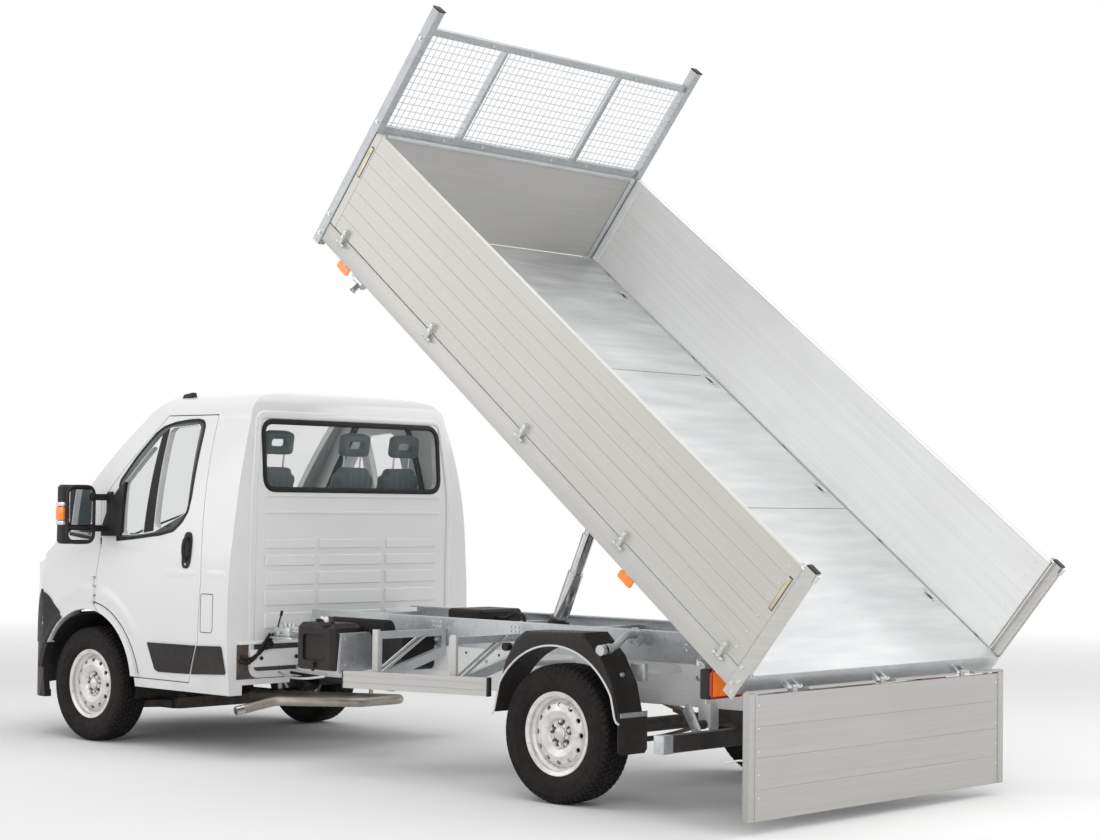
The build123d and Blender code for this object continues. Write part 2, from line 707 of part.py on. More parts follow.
save(tailgate, "tailgate")

with BuildPart() as bed_hinges:
    for along in BOARD_HINGES:
        with BuildSketch(bed_cross_plane(along - 36)):
            with Locations((HINGE_Y, -HINGE_DROP)):
                Circle(9)
            with Locations(((HINGE_Y + SIDE_RAIL_Y) / 2, -HINGE_DROP - 4)):
                Rectangle(HINGE_Y - SIDE_RAIL_Y - 0.6, 10)
        extrude(amount=22)
        with BuildSketch(bed_cross_plane(along + 14)):
            with Locations((HINGE_Y, -HINGE_DROP)):
                Circle(9)
            with Locations(((HINGE_Y + SIDE_RAIL_Y) / 2, -HINGE_DROP - 4)):
                Rectangle(HINGE_Y - SIDE_RAIL_Y - 0.6, 10)
        extrude(amount=22)
        with BuildSketch(bed_cross_plane(along - 30)):
            with Locations((HINGE_Y, -HINGE_DROP)):
                Circle(4)
        extrude(amount=60)
    mirror(about=Plane.XZ)
    for y in GATE_HINGES_Y:
        for edge in (46, -24):
            with BuildSketch(bed_side_plane(y + edge)):
                Polygon(
                    (-SEAT_GAP, -56), (-SEAT_GAP, -80), (-30, -74), (-45, -62), (-38, -54), align=None,
                )
            extrude(amount=22)
        with BuildSketch(side_plane(y + 40)):
            with Locations((GATE_HINGE.X, GATE_HINGE.Z)):
                Circle(5)
        extrude(amount=80)
save(bed_hinges, "bed_hinges")

# Rear mudguards, flaps, lamps and underrun bar
with BuildPart() as mudguards:
    with BuildSketch(side_plane(GUARD_OUTER_Y)):
        Polygon(
            *shifted([
                (REAR_AXLE + 455, 470), (REAR_AXLE + 400, 670), (REAR_AXLE + 250, 878),
                (REAR_AXLE - 330, 878), (REAR_AXLE - 455, 790), (REAR_AXLE - 560, 620), (REAR_AXLE - 580, 530),
                (REAR_AXLE - 440, 530),
            ]),
            align=None,
        )
        with Locations((station(REAR_AXLE), TYRE_RADIUS)):
            Circle(468, mode=Mode.SUBTRACT)
    extrude(amount=GUARD_OUTER_Y - GUARD_INNER_Y)
    with BuildSketch(side_plane(GUARD_OUTER_Y)):
        with Locations((station(REAR_AXLE - 500), 411)):
            Rectangle(8, 242)
    extrude(amount=GUARD_OUTER_Y - GUARD_INNER_Y)
    mirror(about=Plane.XZ)
save(mudguards, "mudguards")

with BuildPart() as tail_lamps:
    with BuildSketch(cross_plane(FRAME_REAR + 2 - SEAT_GAP - 70)):
        with Locations((930, 695)):
            RectangleRounded(250, 140, 24)
    extrude(amount=70)
    mirror(about=Plane.XZ)
save(tail_lamps, "tail_lamps")


def rail_underside(dx):
    """Height of the seat below the rail, which rises towards the rear."""
    return RAIL_BOTTOM + RAIL_RISE * (-3400 - dx) / (-3400 - FRAME_REAR) - SEAT_GAP


with BuildPart() as underrun_bar:
    with BuildSketch(side_plane(0)):
        with Locations((station(-4820), 380)):
            RectangleRounded(60, 88, 8)
    extrude(amount=1090, both=True)
    for side in (1, -1):
        with BuildSketch(side_plane(side * 420 + 10)):
            Polygon(
                *shifted([
                    (-4790, 424), (-4850, 424), (-4850, rail_underside(-4850)), (-4700, rail_underside(-4700)),
                ]),
                align=None,
            )
        extrude(amount=20)
save(underrun_bar, "underrun_bar")

# Side guards: plank on two triangular brackets a side
GUARD_PLANK_Y = 1004
with BuildPart() as side_guards:
    with BuildSketch(side_plane(GUARD_PLANK_Y + 26)):
        Polygon(*shifted([(-2440, 502), (-3575, 531), (-3575, 630), (-2440, 598)]), align=None)
    extrude(amount=26)
    # two long grooves in the plank's outer face
    for rise in (30, 68):
        with BuildSketch(side_plane(GUARD_PLANK_Y + 26)):
            Polygon(
                *shifted([
                    (-2430, 502 + rise), (-3585, 531 + rise), (-3585, 536 + rise), (-2430, 507 + rise),
                ]),
                align=None,
            )
        extrude(amount=3, mode=Mode.SUBTRACT)
    mirror(about=Plane.XZ)
save(side_guards, "side_guards")

with BuildPart() as guard_brackets:
    for place in (-2680, -3280):
        with BuildSketch(cross_plane(place - 18)):
            Polygon(
                (GUARD_PLANK_Y - SEAT_GAP, 530), (GUARD_PLANK_Y - SEAT_GAP, 830), (RAIL_OUTER_Y + SEAT_GAP, 830),
                (RAIL_OUTER_Y + SEAT_GAP, 680), align=None,
            )
            Polygon((970, 600), (970, 790), (500, 790), (500, 722), align=None, mode=Mode.SUBTRACT)
        extrude(amount=36)
    mirror(about=Plane.XZ)
save(guard_brackets, "guard_brackets")

# Water canister, tank, hydraulic unit and exhaust behind the cab
TANK_WIDTH = 260
TANK_HEIGHT = 220
with BuildPart() as tanks:
    with BuildSketch(Plane.XY.offset(CANISTER_BOTTOM)):
        with Locations((station(CANISTER_STATION), CANISTER_Y)):
            RectangleRounded(CANISTER_LENGTH, 230, 40)
    extrude(amount=270)
    chamfer(tanks.faces().sort_by(Axis.Z)[-1].edges(), length=26)
    chamfer(tanks.faces().sort_by(Axis.Z)[0].edges(), length=12)
    with BuildSketch(side_plane(CANISTER_Y + 115)):
        with Locations((station(CANISTER_STATION), CANISTER_BOTTOM + 130)):
            RectangleRounded(CANISTER_LENGTH - 130, 150, 20)
    extrude(amount=14, taper=-20, mode=Mode.SUBTRACT)
    with BuildSketch(Plane.XY.offset(CANISTER_BOTTOM + 268)):
        with Locations((station(CANISTER_STATION + 70), CANISTER_Y)):
            Circle(32)
    extrude(amount=20)
    with BuildSketch(side_plane(RAIL_OUTER_Y + SEAT_GAP + TANK_WIDTH)):
        with Locations((station(-2480), RAIL_STEP + SEAT_GAP + TANK_HEIGHT / 2)):
            RectangleRounded(240, TANK_HEIGHT, 40)
    extrude(amount=TANK_WIDTH)
save(tanks, "tanks")

with BuildPart() as power_unit:
    with BuildSketch(Plane.XY.offset(RAIL_TOP + SEAT_GAP + 8)):
        with Locations((station(-2560), 0)):
            Rectangle(200, 2 * (RAIL_OUTER_Y - 14.3))
    extrude(amount=8)
    with BuildSketch(Plane.XY.offset(740)):
        with Locations((station(-2560), 0)):
            RectangleRounded(280, 360, 20)
    extrude(amount=190)
    chamfer(power_unit.faces().sort_by(Axis.Z)[-1].edges(), length=14)
    with BuildSketch(side_plane(-178)):
        with Locations((station(-2560), 830)):
            Circle(62)
    extrude(amount=130)
    with BuildLine() as hose_path:
        FilletPolyline(
            (station(-2690), 40, 880), (station(-2780), 40, 880), (station(-2850), 40, 914),
            (station(-2915), 40, 906), (station(-2935), 42, 812),
            (station(-2935), CRADLE_Y - 6 - SEAT_GAP, 812), radius=26,
        )
    with BuildSketch(Plane(origin=hose_path.line @ 0, z_dir=hose_path.line % 0)):
        Circle(11)
    sweep()
save(power_unit, "power_unit")

with BuildPart() as exhaust:
    with BuildLine() as pipe_path:
        FilletPolyline(
            (station(-300), -100, 260), (station(-1800), -100, 330), (station(-1800), 300, 330),
            (station(-1480), 700, 340), (station(-1420), 960, 290), radius=120,
        )
    with BuildSketch(Plane(origin=pipe_path.line @ 0, z_dir=pipe_path.line % 0)):
        Circle(28)
    sweep()
    for place in (-1470, -590):
        with BuildSketch(cross_plane(place - 4)):
            with Locations((-100, 410)):
                Rectangle(30, 2 * (505 - SEAT_GAP - 410))
        extrude(amount=8)
save(exhaust, "exhaust")

with BuildPart() as engine_block:
    with BuildSketch(Plane.XY.offset(330)):
        with Locations((station(330), 0)):
            RectangleRounded(380, 700, 40)
    extrude(amount=480)
    # mounts out to the rails
    for side in (1, -1):
        with BuildSketch(side_plane(side * (RAIL_INNER_Y - SEAT_GAP))):
            with Locations((station(330), 510)):
                Rectangle(110, 60)
        extrude(amount=side * 60)
save(engine_block, "engine_block")

# marker lamps under the bed's side rails
with BuildPart() as marker_lamps:
    for along in (887, 3600):
        with BuildSketch(bed_side_plane(SIDE_RAIL_Y - 10)):
            with Locations((along, -SIDE_RAIL_DROP - 32)):
                RectangleRounded(100, 44, 8)
            with Locations((along, -SIDE_RAIL_DROP - 6)):
                Rectangle(30, 11)
        extrude(amount=14)
    mirror(about=Plane.XZ)
save(marker_lamps, "marker_lamps")

# Cab: outer form and its inset copies, from side, front and plan outlines
NOSE_STATION = 420
# side outline: columns station, height
SCREEN_BASE = (400, 1250)
SCREEN_TOP = (-470, 2180)


def cabin_form(inset):
    """Cabin behind the bonnet: side outline crossed with the front outline."""
    with BuildPart() as form:
        with BuildSketch(side_plane(CAB_HALF_WIDTH + 100)):
            with BuildLine():
                back = Line((station(CAB_BACK), SILL_HEIGHT), (station(CAB_BACK), 1200))
                back_top = ThreePointArc(
                    back @ 1, (station(CAB_BACK + 4), 1750), (station(CAB_BACK + 45), 2150)
                )
                brow = ThreePointArc(
                    back_top @ 1, (station(CAB_BACK + 80), 2205), (station(CAB_BACK + 160), 2226)
                )
                roof = ThreePointArc(brow @ 1, (station(-900), ROOF_HEIGHT), (station(-600), 2240))
                crest = ThreePointArc(
                    roof @ 1, (station(-520), 2222), (station(SCREEN_TOP[0]), SCREEN_TOP[1])
                )
                screen = ThreePointArc(
                    crest @ 1, (station(-10), 1745), (station(SCREEN_BASE[0]), SCREEN_BASE[1])
                )
                Polyline(
                    screen @ 1,
                    (station(NOSE_STATION + 60), SCREEN_BASE[1] - 60),
                    (station(NOSE_STATION + 60), SILL_HEIGHT),
                    back @ 0,
                )
            make_face()
            if inset:
                offset(amount=-inset)
        extrude(amount=2 * CAB_HALF_WIDTH + 200)
        with BuildSketch(cross_plane(CAB_BACK - 50)):
            with BuildLine():
                low = Line((0, SILL_HEIGHT - 20), (CAB_HALF_WIDTH - 30, SILL_HEIGHT - 20))
                flank = ThreePointArc(low @ 1, (CAB_HALF_WIDTH, 900), (CAB_HALF_WIDTH - 28, 1310))
                upper = ThreePointArc(flank @ 1, (CAB_HALF_WIDTH - 95, 1730), (CAB_HALF_WIDTH - 190, 2060))
                cant = ThreePointArc(upper @ 1, (CAB_HALF_WIDTH - 230, 2150), (CAB_HALF_WIDTH - 330, 2205))
                top = ThreePointArc(cant @ 1, (CAB_HALF_WIDTH - 660, 2240), (0, ROOF_HEIGHT + 2))
                Line(top @ 1, low @ 0)
            make_face()
            mirror(about=Plane.YZ)
            if inset:
                offset(amount=-inset)
        extrude(amount=NOSE_STATION - CAB_BACK + 200, mode=Mode.INTERSECT)
    return form.part


def nose_form(inset):
    """Bonnet, wings and bumper: side outline crossed with front and plan outlines."""
    with BuildPart() as form:
        with BuildSketch(side_plane(CAB_HALF_WIDTH + 100)):
            with BuildLine():
                base = Line((station(-120), 300), (station(-120), 1268))
                bonnet_top = Line(base @ 1, (station(SCREEN_BASE[0] - 60), 1268))
                slope = ThreePointArc(
                    bonnet_top @ 1, (station(640), 1155), (station(835), 985)
                )
                front = ThreePointArc(slope @ 1, (station(928), 790), (station(NOSE_OVERHANG), 560))
                chin = ThreePointArc(front @ 1, (station(NOSE_OVERHANG - 6), 400), (station(880), 250))
                Polyline(chin @ 1, (station(300), 250), (station(-120), 250), base @ 0)
            make_face()
            if inset:
                offset(amount=-inset)
        extrude(amount=2 * CAB_HALF_WIDTH + 200)
        with BuildSketch(cross_plane(-200)):
            with BuildLine():
                low = Line((0, 240), (CAB_HALF_WIDTH - 30, 240))
                flank = ThreePointArc(low @ 1, (CAB_HALF_WIDTH, 640), (CAB_HALF_WIDTH - 16, 900))
                wing = ThreePointArc(
                    flank @ 1, (CAB_HALF_WIDTH - 70, 1080), (CAB_HALF_WIDTH - 210, 1190)
                )
                lid = ThreePointArc(wing @ 1, (CAB_HALF_WIDTH - 560, 1255), (0, 1275))
                Line(lid @ 1, low @ 0)
            make_face()
            mirror(about=Plane.YZ)
            if inset:
                offset(amount=-inset)
        extrude(amount=1300, mode=Mode.INTERSECT)
        with BuildSketch(Plane.XY.offset(200)):
            with BuildLine():
                rear = Line((station(-150), 0), (station(-150), CAB_HALF_WIDTH))
                side_line = Line(rear @ 1, (station(330), CAB_HALF_WIDTH))
                corner = ThreePointArc(side_line @ 1, (station(620), 960), (station(810), 760))
                tip_line = ThreePointArc(corner @ 1, (station(910), 420), (station(NOSE_OVERHANG), 0))
                Line(tip_line @ 1, rear @ 0)
            make_face()
            mirror(about=Plane.XZ)
            if inset:
                offset(amount=-inset)
        extrude(amount=1300, mode=Mode.INTERSECT)
    return form.part


def cab_form(inset):
    with BuildPart() as form:
        add(cabin_form(inset))
        add(nose_form(inset))
    return form.part


outer_form = cab_form(0)
inner_form = cab_form(CAB_WALL)

# Region outlines in the side view: columns station, height
DOOR_OUTLINE = [
    (-1020, 440), (-1120, 700), (-1135, 1060), (-1050, 2080), (-560, 2080), (-250, 1760), (-55, 1530),
    (-110, 1273), (-62, 894), (-150, 810), (-347, 700), (-440, 560), (-465, 440),
]
DOOR_PANES = (
    [(-904, 2025), (-604, 2003), (-634, 1353), (-938, 1478)],
    [(-545, 1958), (-262, 1655), (-300, 1325), (-532, 1340)],
)
PANE_CORNER = 45
DOOR_SIDE_Y = 640


def side_prism(points, grow=0.0, reach=(DOOR_SIDE_Y, CAB_HALF_WIDTH + 60), corner=0):
    """Prism across the left side of the cab, used to cut or keep a region."""
    with BuildPart() as prism:
        with BuildSketch(side_plane(reach[1])) as region:
            Polygon(*shifted(points), align=None)
            if corner:
                fillet(region.vertices(), radius=corner)
            if grow:
                offset(amount=grow, kind=Kind.INTERSECTION)
        extrude(amount=reach[1] - reach[0])
    return prism.part


def screen_prism(grow):
    """Prism square to the windscreen, over its daylight opening."""
    base = Vector(station(SCREEN_BASE[0]), 0, SCREEN_BASE[1])
    peak = Vector(station(SCREEN_TOP[0]), 0, SCREEN_TOP[1])
    along = (peak - base).normalized()
    normal = Vector(0, 1, 0).cross(along) * -1
    plane = Plane(origin=base, x_dir=(0, 1, 0), z_dir=normal)
    sign = 1 if plane.y_dir.Z > 0 else -1
    span = (peak - base).length
    with BuildPart() as prism:
        with BuildSketch(plane.offset(-120)):
            Polygon(
                (-870 - grow, sign * (60 - grow)), (870 + grow, sign * (60 - grow)),
                (700 + grow, sign * (span - 30 + grow)), (-700 - grow, sign * (span - 30 + grow)),
                align=None,
            )
        extrude(amount=300)
    return prism.part


def cut_box(x0, x1, y0, y1, z0, z1):
    with BuildPart() as block:
        with BuildSketch(Plane.XY.offset(z0)):
            with Locations((station((x0 + x1) / 2), (y0 + y1) / 2)):
                Rectangle(x1 - x0, y1 - y0)
        extrude(amount=z1 - z0)
    return block.part


with BuildPart() as wheel_wells:
    with BuildSketch(side_plane(CAB_HALF_WIDTH + 60)):
        with Locations((station(0), TYRE_RADIUS)):
            Circle(ARCH_RADIUS)
        with Locations((station(0), 150)):
            Rectangle(2 * ARCH_RADIUS, 2 * (TYRE_RADIUS - 150))
    extrude(amount=CAB_HALF_WIDTH + 60 - 520)
    mirror(about=Plane.XZ)

# bonnet's parallel sides and rear edge, and the bumper's height
BONNET_HALF_WIDTH = 760
BONNET_REAR = 430
BUMPER_TOP = 610
REAR_WINDOW_LOW = 1638
REAR_WINDOW_HIGH = 2030
REAR_WINDOW_HALF = 733

ARCH_LIP = 42
ARCH_FLARE = 8
ARCH_LIP_LOW = 445
with BuildPart() as arch_lips:
    with BuildSketch(side_plane(CAB_HALF_WIDTH + ARCH_FLARE)):
        with Locations((station(0), TYRE_RADIUS)):
            Circle(ARCH_RADIUS + ARCH_LIP)
            Circle(ARCH_RADIUS - 20, mode=Mode.SUBTRACT)
        with Locations((station(0), ARCH_LIP_LOW - ARCH_RADIUS)):
            Rectangle(2 * (ARCH_RADIUS + ARCH_LIP), 2 * ARCH_RADIUS, mode=Mode.SUBTRACT)
    extrude(amount=ARCH_FLARE + 40)
    mirror(about=Plane.XZ)

with BuildPart() as body_walls:
    add(outer_form)
    add(inner_form, mode=Mode.SUBTRACT)
    add(arch_lips.part)
    add(wheel_wells.part, mode=Mode.SUBTRACT)
    add(cut_box(-2000, -150, -900, 900, 200, SILL_HEIGHT + 60), mode=Mode.SUBTRACT)
    add(cut_box(-2000, 780, -520, 520, 200, FLOOR_HEIGHT - 5), mode=Mode.SUBTRACT)
    add(cut_box(-200, 860, -950, 950, 200, 320), mode=Mode.SUBTRACT)


def bonnet_region(grow):
    return cut_box(BONNET_REAR - grow, 1000, -BONNET_HALF_WIDTH - grow, BONNET_HALF_WIDTH + grow, 1000 - grow, 1400)


def bumper_region(grow):
    return cut_box(395 - grow, 1000, -1100, 1100, 240, BUMPER_TOP + grow)


HEADLAMP_OUTLINE = [(560, 700), (575, 850), (760, 955), (900, 985), (935, 870), (800, 725)]
GRILLE_HALF_WIDTH = 470
GRILLE_LOW = 655
GRILLE_HIGH = 800
GRILLE_SLOTS = 4
INTAKE_HALF_WIDTH = 420


def headlamp_prism(grow):
    with BuildPart() as prism:
        with BuildSketch(cross_plane(500)):
            Polygon(*HEADLAMP_OUTLINE, align=None)
            if grow:
                offset(amount=grow, kind=Kind.INTERSECTION)
        extrude(amount=500)
        mirror(about=Plane.XZ)
    return prism.part


def grille_region(grow):
    half = GRILLE_HALF_WIDTH + grow
    return cut_box(700, 1000, -half, half, GRILLE_LOW - grow, GRILLE_HIGH + grow)


# Door hinges: columns height of each hinge's middle. The pin stands on the door's front edge.
DOOR_HINGES = (905, 1020)
DOOR_PIN = (-52, CAB_HALF_WIDTH - 1)
BONNET_PIN = (431, 1243)
BONNET_HINGE_Y = 160
PIN_RADIUS = 3
KNUCKLE_RADIUS = 6


def door_pin_plane(height):
    return Plane(origin=(station(DOOR_PIN[0]), DOOR_PIN[1], height))


def build_door_hinge(on_door):
    """Left hinges: the door's barrel and leaf, or the body's two knuckles, leaf and pin."""
    with BuildPart() as hinge:
        for middle in DOOR_HINGES:
            spans = ((middle - 20, 40),) if on_door else ((middle - 32, 11.5), (middle + 20.5, 11.5))
            for low, height in spans:
                with BuildSketch(door_pin_plane(low)):
                    Circle(KNUCKLE_RADIUS)
                    if on_door:
                        with Locations((-20, -9)):
                            Rectangle(40, 6)
                    else:
                        with Locations((14, -9)):
                            Rectangle(28, 6)
                    with Locations((0, -5)):
                        Rectangle(6, 10)
                extrude(amount=height)
            with BuildSketch(door_pin_plane(middle - 32)):
                Circle(PIN_RADIUS + (SEAT_GAP if on_door else 0))
            extrude(amount=64, mode=Mode.SUBTRACT if on_door else Mode.ADD)
    return hinge.part


def build_bonnet_hinge(on_bonnet):
    with BuildPart() as hinge:
        spans = ((BONNET_HINGE_Y + 20, 40),) if on_bonnet else (
            (BONNET_HINGE_Y + 32, 11.5), (BONNET_HINGE_Y - 20.5, 11.5)
        )
        for outer, width in spans:
            with BuildSketch(side_plane(outer)):
                with Locations((station(BONNET_PIN[0]), BONNET_PIN[1])):
                    Circle(KNUCKLE_RADIUS)
                shift = 15 if on_bonnet else -15
                with Locations((station(BONNET_PIN[0] + shift), BONNET_PIN[1] - 6)):
                    Rectangle(30, 6)
            extrude(amount=width)
        with BuildSketch(side_plane(BONNET_HINGE_Y + 32)):
            with Locations((station(BONNET_PIN[0]), BONNET_PIN[1])):
                Circle(PIN_RADIUS + (SEAT_GAP if on_bonnet else 0))
        extrude(amount=64, mode=Mode.SUBTRACT if on_bonnet else Mode.ADD)
        mirror(about=Plane.XZ)
    return hinge.part


def door_hinge_pockets():
    """Room in the left wing and the door's edge for the hinges."""
    with BuildPart() as pockets:
        for middle in DOOR_HINGES:
            with BuildSketch(door_pin_plane(middle - 36)):
                with Locations((-12, -4)):
                    Rectangle(44, 22)
            extrude(amount=72)
    return pockets.part


bonnet_pocket = cut_box(
    BONNET_PIN[0] - 10, BONNET_PIN[0] + 10, BONNET_HINGE_Y - 36, BONNET_HINGE_Y + 36, BONNET_PIN[1] - 12, 1300
)

with BuildPart() as rear_window_hole:
    with BuildSketch(cross_plane(CAB_BACK - 20)):
        with Locations((0, (REAR_WINDOW_LOW + REAR_WINDOW_HIGH) / 2)):
            RectangleRounded(2 * REAR_WINDOW_HALF, REAR_WINDOW_HIGH - REAR_WINDOW_LOW, 60)
    extrude(amount=120)

# Pressed panels of the back wall. Rows, columns: lowest height, highest height
BACK_PANEL_ROWS = ((771, 874), (910, 1007), (1034, 1122), (1152, 1228), (1258, 1325))
# Bands between the panels' edges, columns: right edge, left edge
BACK_PANEL_BANDS = ((-720, -265), (-235, 305), (335, 740))
BACK_RIDGES = (1485, 1589)
BACK_PANEL_RISE = 11
back_wall = Plane(origin=(station(CAB_BACK + 8), 0, 0), x_dir=(0, -1, 0), z_dir=(-1, 0, 0))
with BuildPart() as back_panels:
    for low, high in BACK_PANEL_ROWS:
        for right, left in BACK_PANEL_BANDS:
            with BuildSketch(back_wall):
                with Locations((-(left + right) / 2, (low + high) / 2)):
                    Rectangle(left - right, high - low)
            extrude(amount=8 + BACK_PANEL_RISE, taper=25)
    for height in BACK_RIDGES:
        with BuildSketch(back_wall):
            with Locations((0, height)):
                Rectangle(1500, 34)
        extrude(amount=8 + BACK_PANEL_RISE, taper=30)

with BuildPart() as cab_shell:
    add(body_walls.part)
    add(back_panels.part)
    for side in (1, -1):
        door_cut = side_prism(DOOR_OUTLINE, SHUT_GAP)
        if side < 0:
            door_cut = mirror(door_cut, about=Plane.XZ, mode=Mode.PRIVATE)
        add(door_cut, mode=Mode.SUBTRACT)
    add(screen_prism(0), mode=Mode.SUBTRACT)
    add(bonnet_region(SHUT_GAP), mode=Mode.SUBTRACT)
    add(bumper_region(SEAT_GAP), mode=Mode.SUBTRACT)
    add(headlamp_prism(SEAT_GAP), mode=Mode.SUBTRACT)
    add(grille_region(SEAT_GAP), mode=Mode.SUBTRACT)
    add(rear_window_hole.part, mode=Mode.SUBTRACT)
    add(bonnet_pocket, mode=Mode.SUBTRACT)
    add(mirror(bonnet_pocket, about=Plane.XZ, mode=Mode.PRIVATE), mode=Mode.SUBTRACT)
    add(door_hinge_pockets(), mode=Mode.SUBTRACT)
    add(mirror(door_hinge_pockets(), about=Plane.XZ, mode=Mode.PRIVATE), mode=Mode.SUBTRACT)
    add(build_bonnet_hinge(False))
    add(build_door_hinge(False))
    add(mirror(build_door_hinge(False), about=Plane.XZ, mode=Mode.PRIVATE))
save(cab_shell, "cab_shell")

with BuildPart() as bonnet:
    add(body_walls.part)
    add(bonnet_region(0), mode=Mode.INTERSECT)
    add(screen_prism(SHUT_GAP), mode=Mode.SUBTRACT)
    add(bonnet_pocket, mode=Mode.SUBTRACT)
    add(mirror(bonnet_pocket, about=Plane.XZ, mode=Mode.PRIVATE), mode=Mode.SUBTRACT)
    add(build_bonnet_hinge(True))
save(bonnet, "bonnet")

with BuildPart() as seal_skin:
    add(cab_form(CAB_WALL + SEAT_GAP))
    add(cab_form(CAB_WALL + SEAL_DEPTH), mode=Mode.SUBTRACT)

with BuildPart() as body_seals:
    add(seal_skin.part)
    add(side_prism(DOOR_OUTLINE, SEAL_REACH), mode=Mode.INTERSECT)
    add(side_prism(DOOR_OUTLINE, -SEAL_REACH), mode=Mode.SUBTRACT)
    add(cut_box(-2000, 200, 0, 1100, 0, FLOOR_TOP + 20), mode=Mode.SUBTRACT)
    mirror(about=Plane.XZ)
save(body_seals, "body_seals")

with BuildPart() as front_bumper:
    add(body_walls.part)
    add(bumper_region(0), mode=Mode.INTERSECT)
    for height in (410, 450, 490):
        add(cut_box(700, 1000, -INTAKE_HALF_WIDTH, INTAKE_HALF_WIDTH, height, height + 22), mode=Mode.SUBTRACT)
save(front_bumper, "front_bumper")

with BuildPart() as headlamps:
    add(body_walls.part)
    add(headlamp_prism(0), mode=Mode.INTERSECT)
save(headlamps, "headlamps")

with BuildPart() as grille:
    add(body_walls.part)
    add(grille_region(0), mode=Mode.INTERSECT)
    slot_pitch = (GRILLE_HIGH - GRILLE_LOW) / GRILLE_SLOTS
    for slot in range(GRILLE_SLOTS):
        low = GRILLE_LOW + slot_pitch * (slot + 0.25)
        half = GRILLE_HALF_WIDTH - 20
        add(cut_box(700, 1000, -half, half, low, low + slot_pitch / 2), mode=Mode.SUBTRACT)
save(grille, "grille")

clear_of_cab = cab_form(-SEAT_GAP)
MIRROR_ARMS = (1364, 1563)
glass_outer = cab_form(8)
glass_inner = cab_form(13)
with BuildPart() as glass_skin:
    add(glass_outer)
    add(glass_inner, mode=Mode.SUBTRACT)

with BuildPart() as windscreen:
    add(glass_skin.part)
    add(screen_prism(-SEAT_GAP), mode=Mode.INTERSECT)
save(windscreen, "windscreen")

with BuildPart() as rear_window:
    add(glass_skin.part)
    with BuildSketch(cross_plane(CAB_BACK - 20)):
        with Locations((0, (REAR_WINDOW_LOW + REAR_WINDOW_HIGH) / 2)):
            RectangleRounded(2 * REAR_WINDOW_HALF - 1, REAR_WINDOW_HIGH - REAR_WINDOW_LOW - 1, 59)
    extrude(amount=120, mode=Mode.INTERSECT)
save(rear_window, "rear_window")

for side, name in ((1, "left"), (-1, "right")):
    with BuildPart() as door:
        add(body_walls.part)
        add(side_prism(DOOR_OUTLINE), mode=Mode.INTERSECT)
        for pane in DOOR_PANES:
            add(side_prism(pane, corner=PANE_CORNER), mode=Mode.SUBTRACT)
        add(door_hinge_pockets(), mode=Mode.SUBTRACT)
        add(build_door_hinge(True))
        if side < 0:
            mirror(objects=door.part, about=Plane.XZ, mode=Mode.REPLACE)
    save(door, f"door_{name}")
    with BuildPart() as door_glass:
        for pane in DOOR_PANES:
            with BuildPart(mode=Mode.PRIVATE) as one_pane:
                add(glass_skin.part)
                add(side_prism(pane, -0.5, corner=PANE_CORNER), mode=Mode.INTERSECT)
            add(one_pane.part)
        if side < 0:
            mirror(objects=door_glass.part, about=Plane.XZ, mode=Mode.REPLACE)
    save(door_glass, f"door_glass_{name}")
    with BuildPart() as mirror_head:
        with BuildSketch(Plane.XY.offset(1265)):
            with Locations((station(-75), 1195)):
                RectangleRounded(110, 215, 40)
        extrude(amount=375)
        fillet(mirror_head.faces().filter_by(Axis.Z).edges(), radius=26)
        for height in MIRROR_ARMS:
            with BuildSketch(cross_plane(-150)):
                with Locations((1015, height)):
                    Rectangle(230, 36)
            extrude(amount=40)
        add(clear_of_cab, mode=Mode.SUBTRACT)
        if side < 0:
            mirror(objects=mirror_head.part, about=Plane.XZ, mode=Mode.REPLACE)
    save(mirror_head, f"mirror_{name}")

# Cab floor: pan, toe board and firewall, clear of the wheel wells
with BuildPart() as cab_floor:
    with BuildSketch(side_plane(CAB_HALF_WIDTH - CAB_WALL - 24)):
        Polygon(
            *shifted([
                (CAB_BACK + CAB_WALL + SEAT_GAP, FLOOR_HEIGHT), (-120, FLOOR_HEIGHT), (120, 900), (120, 1170),
                (90, 1170), (90, 912), (-135, FLOOR_TOP), (CAB_BACK + CAB_WALL + SEAT_GAP, FLOOR_TOP),
            ]),
            align=None,
        )
    extrude(amount=2 * (CAB_HALF_WIDTH - CAB_WALL - 24))
    add(wheel_wells.part, mode=Mode.SUBTRACT)
    # mounts down to the rails
    for dx in (-1300, -680):
        with BuildSketch(Plane.XY.offset(RAIL_STEP - 10 + SEAT_GAP)):
            with Locations((station(dx), 0)):
                with GridLocations(0, RAIL_OUTER_Y + RAIL_INNER_Y, 1, 2):
                    Circle(34)
        extrude(amount=FLOOR_HEIGHT - RAIL_STEP + 12)
save(cab_floor, "cab_floor")

# Seats: columns name, centre y, width, number of places
SEATS = (("driver_seat", 560, 480, 1), ("passenger_bench", -330, 960, 2))
for name, centre, width, places in SEATS:
    with BuildPart() as seat:
        with BuildSketch(side_plane(centre + width / 2)):
            Polygon(
                *shifted([
                    (-560, 900), (-560, 1010), (-1010, 985), (-1080, 1560), (-1190, 1560), (-1150, 900),
                ]),
                align=None,
            )
        extrude(amount=width)
        with BuildSketch(side_plane(centre + width / 2 - 40)):
            Polygon(
                *shifted([
                    (-600, FLOOR_TOP + SEAT_GAP), (-600, 905), (-1100, 905), (-1100, FLOOR_TOP + SEAT_GAP),
                ]),
                align=None,
            )
        extrude(amount=width - 80)
        for place in range(places):
            y = centre + (place - (places - 1) / 2) * width / places
            with BuildSketch(side_plane(y + 120)):
                Polygon(*shifted([(-1075, 1555), (-1180, 1555), (-1200, 1800), (-1110, 1800)]), align=None)
            extrude(amount=240)
    save(seat, name)

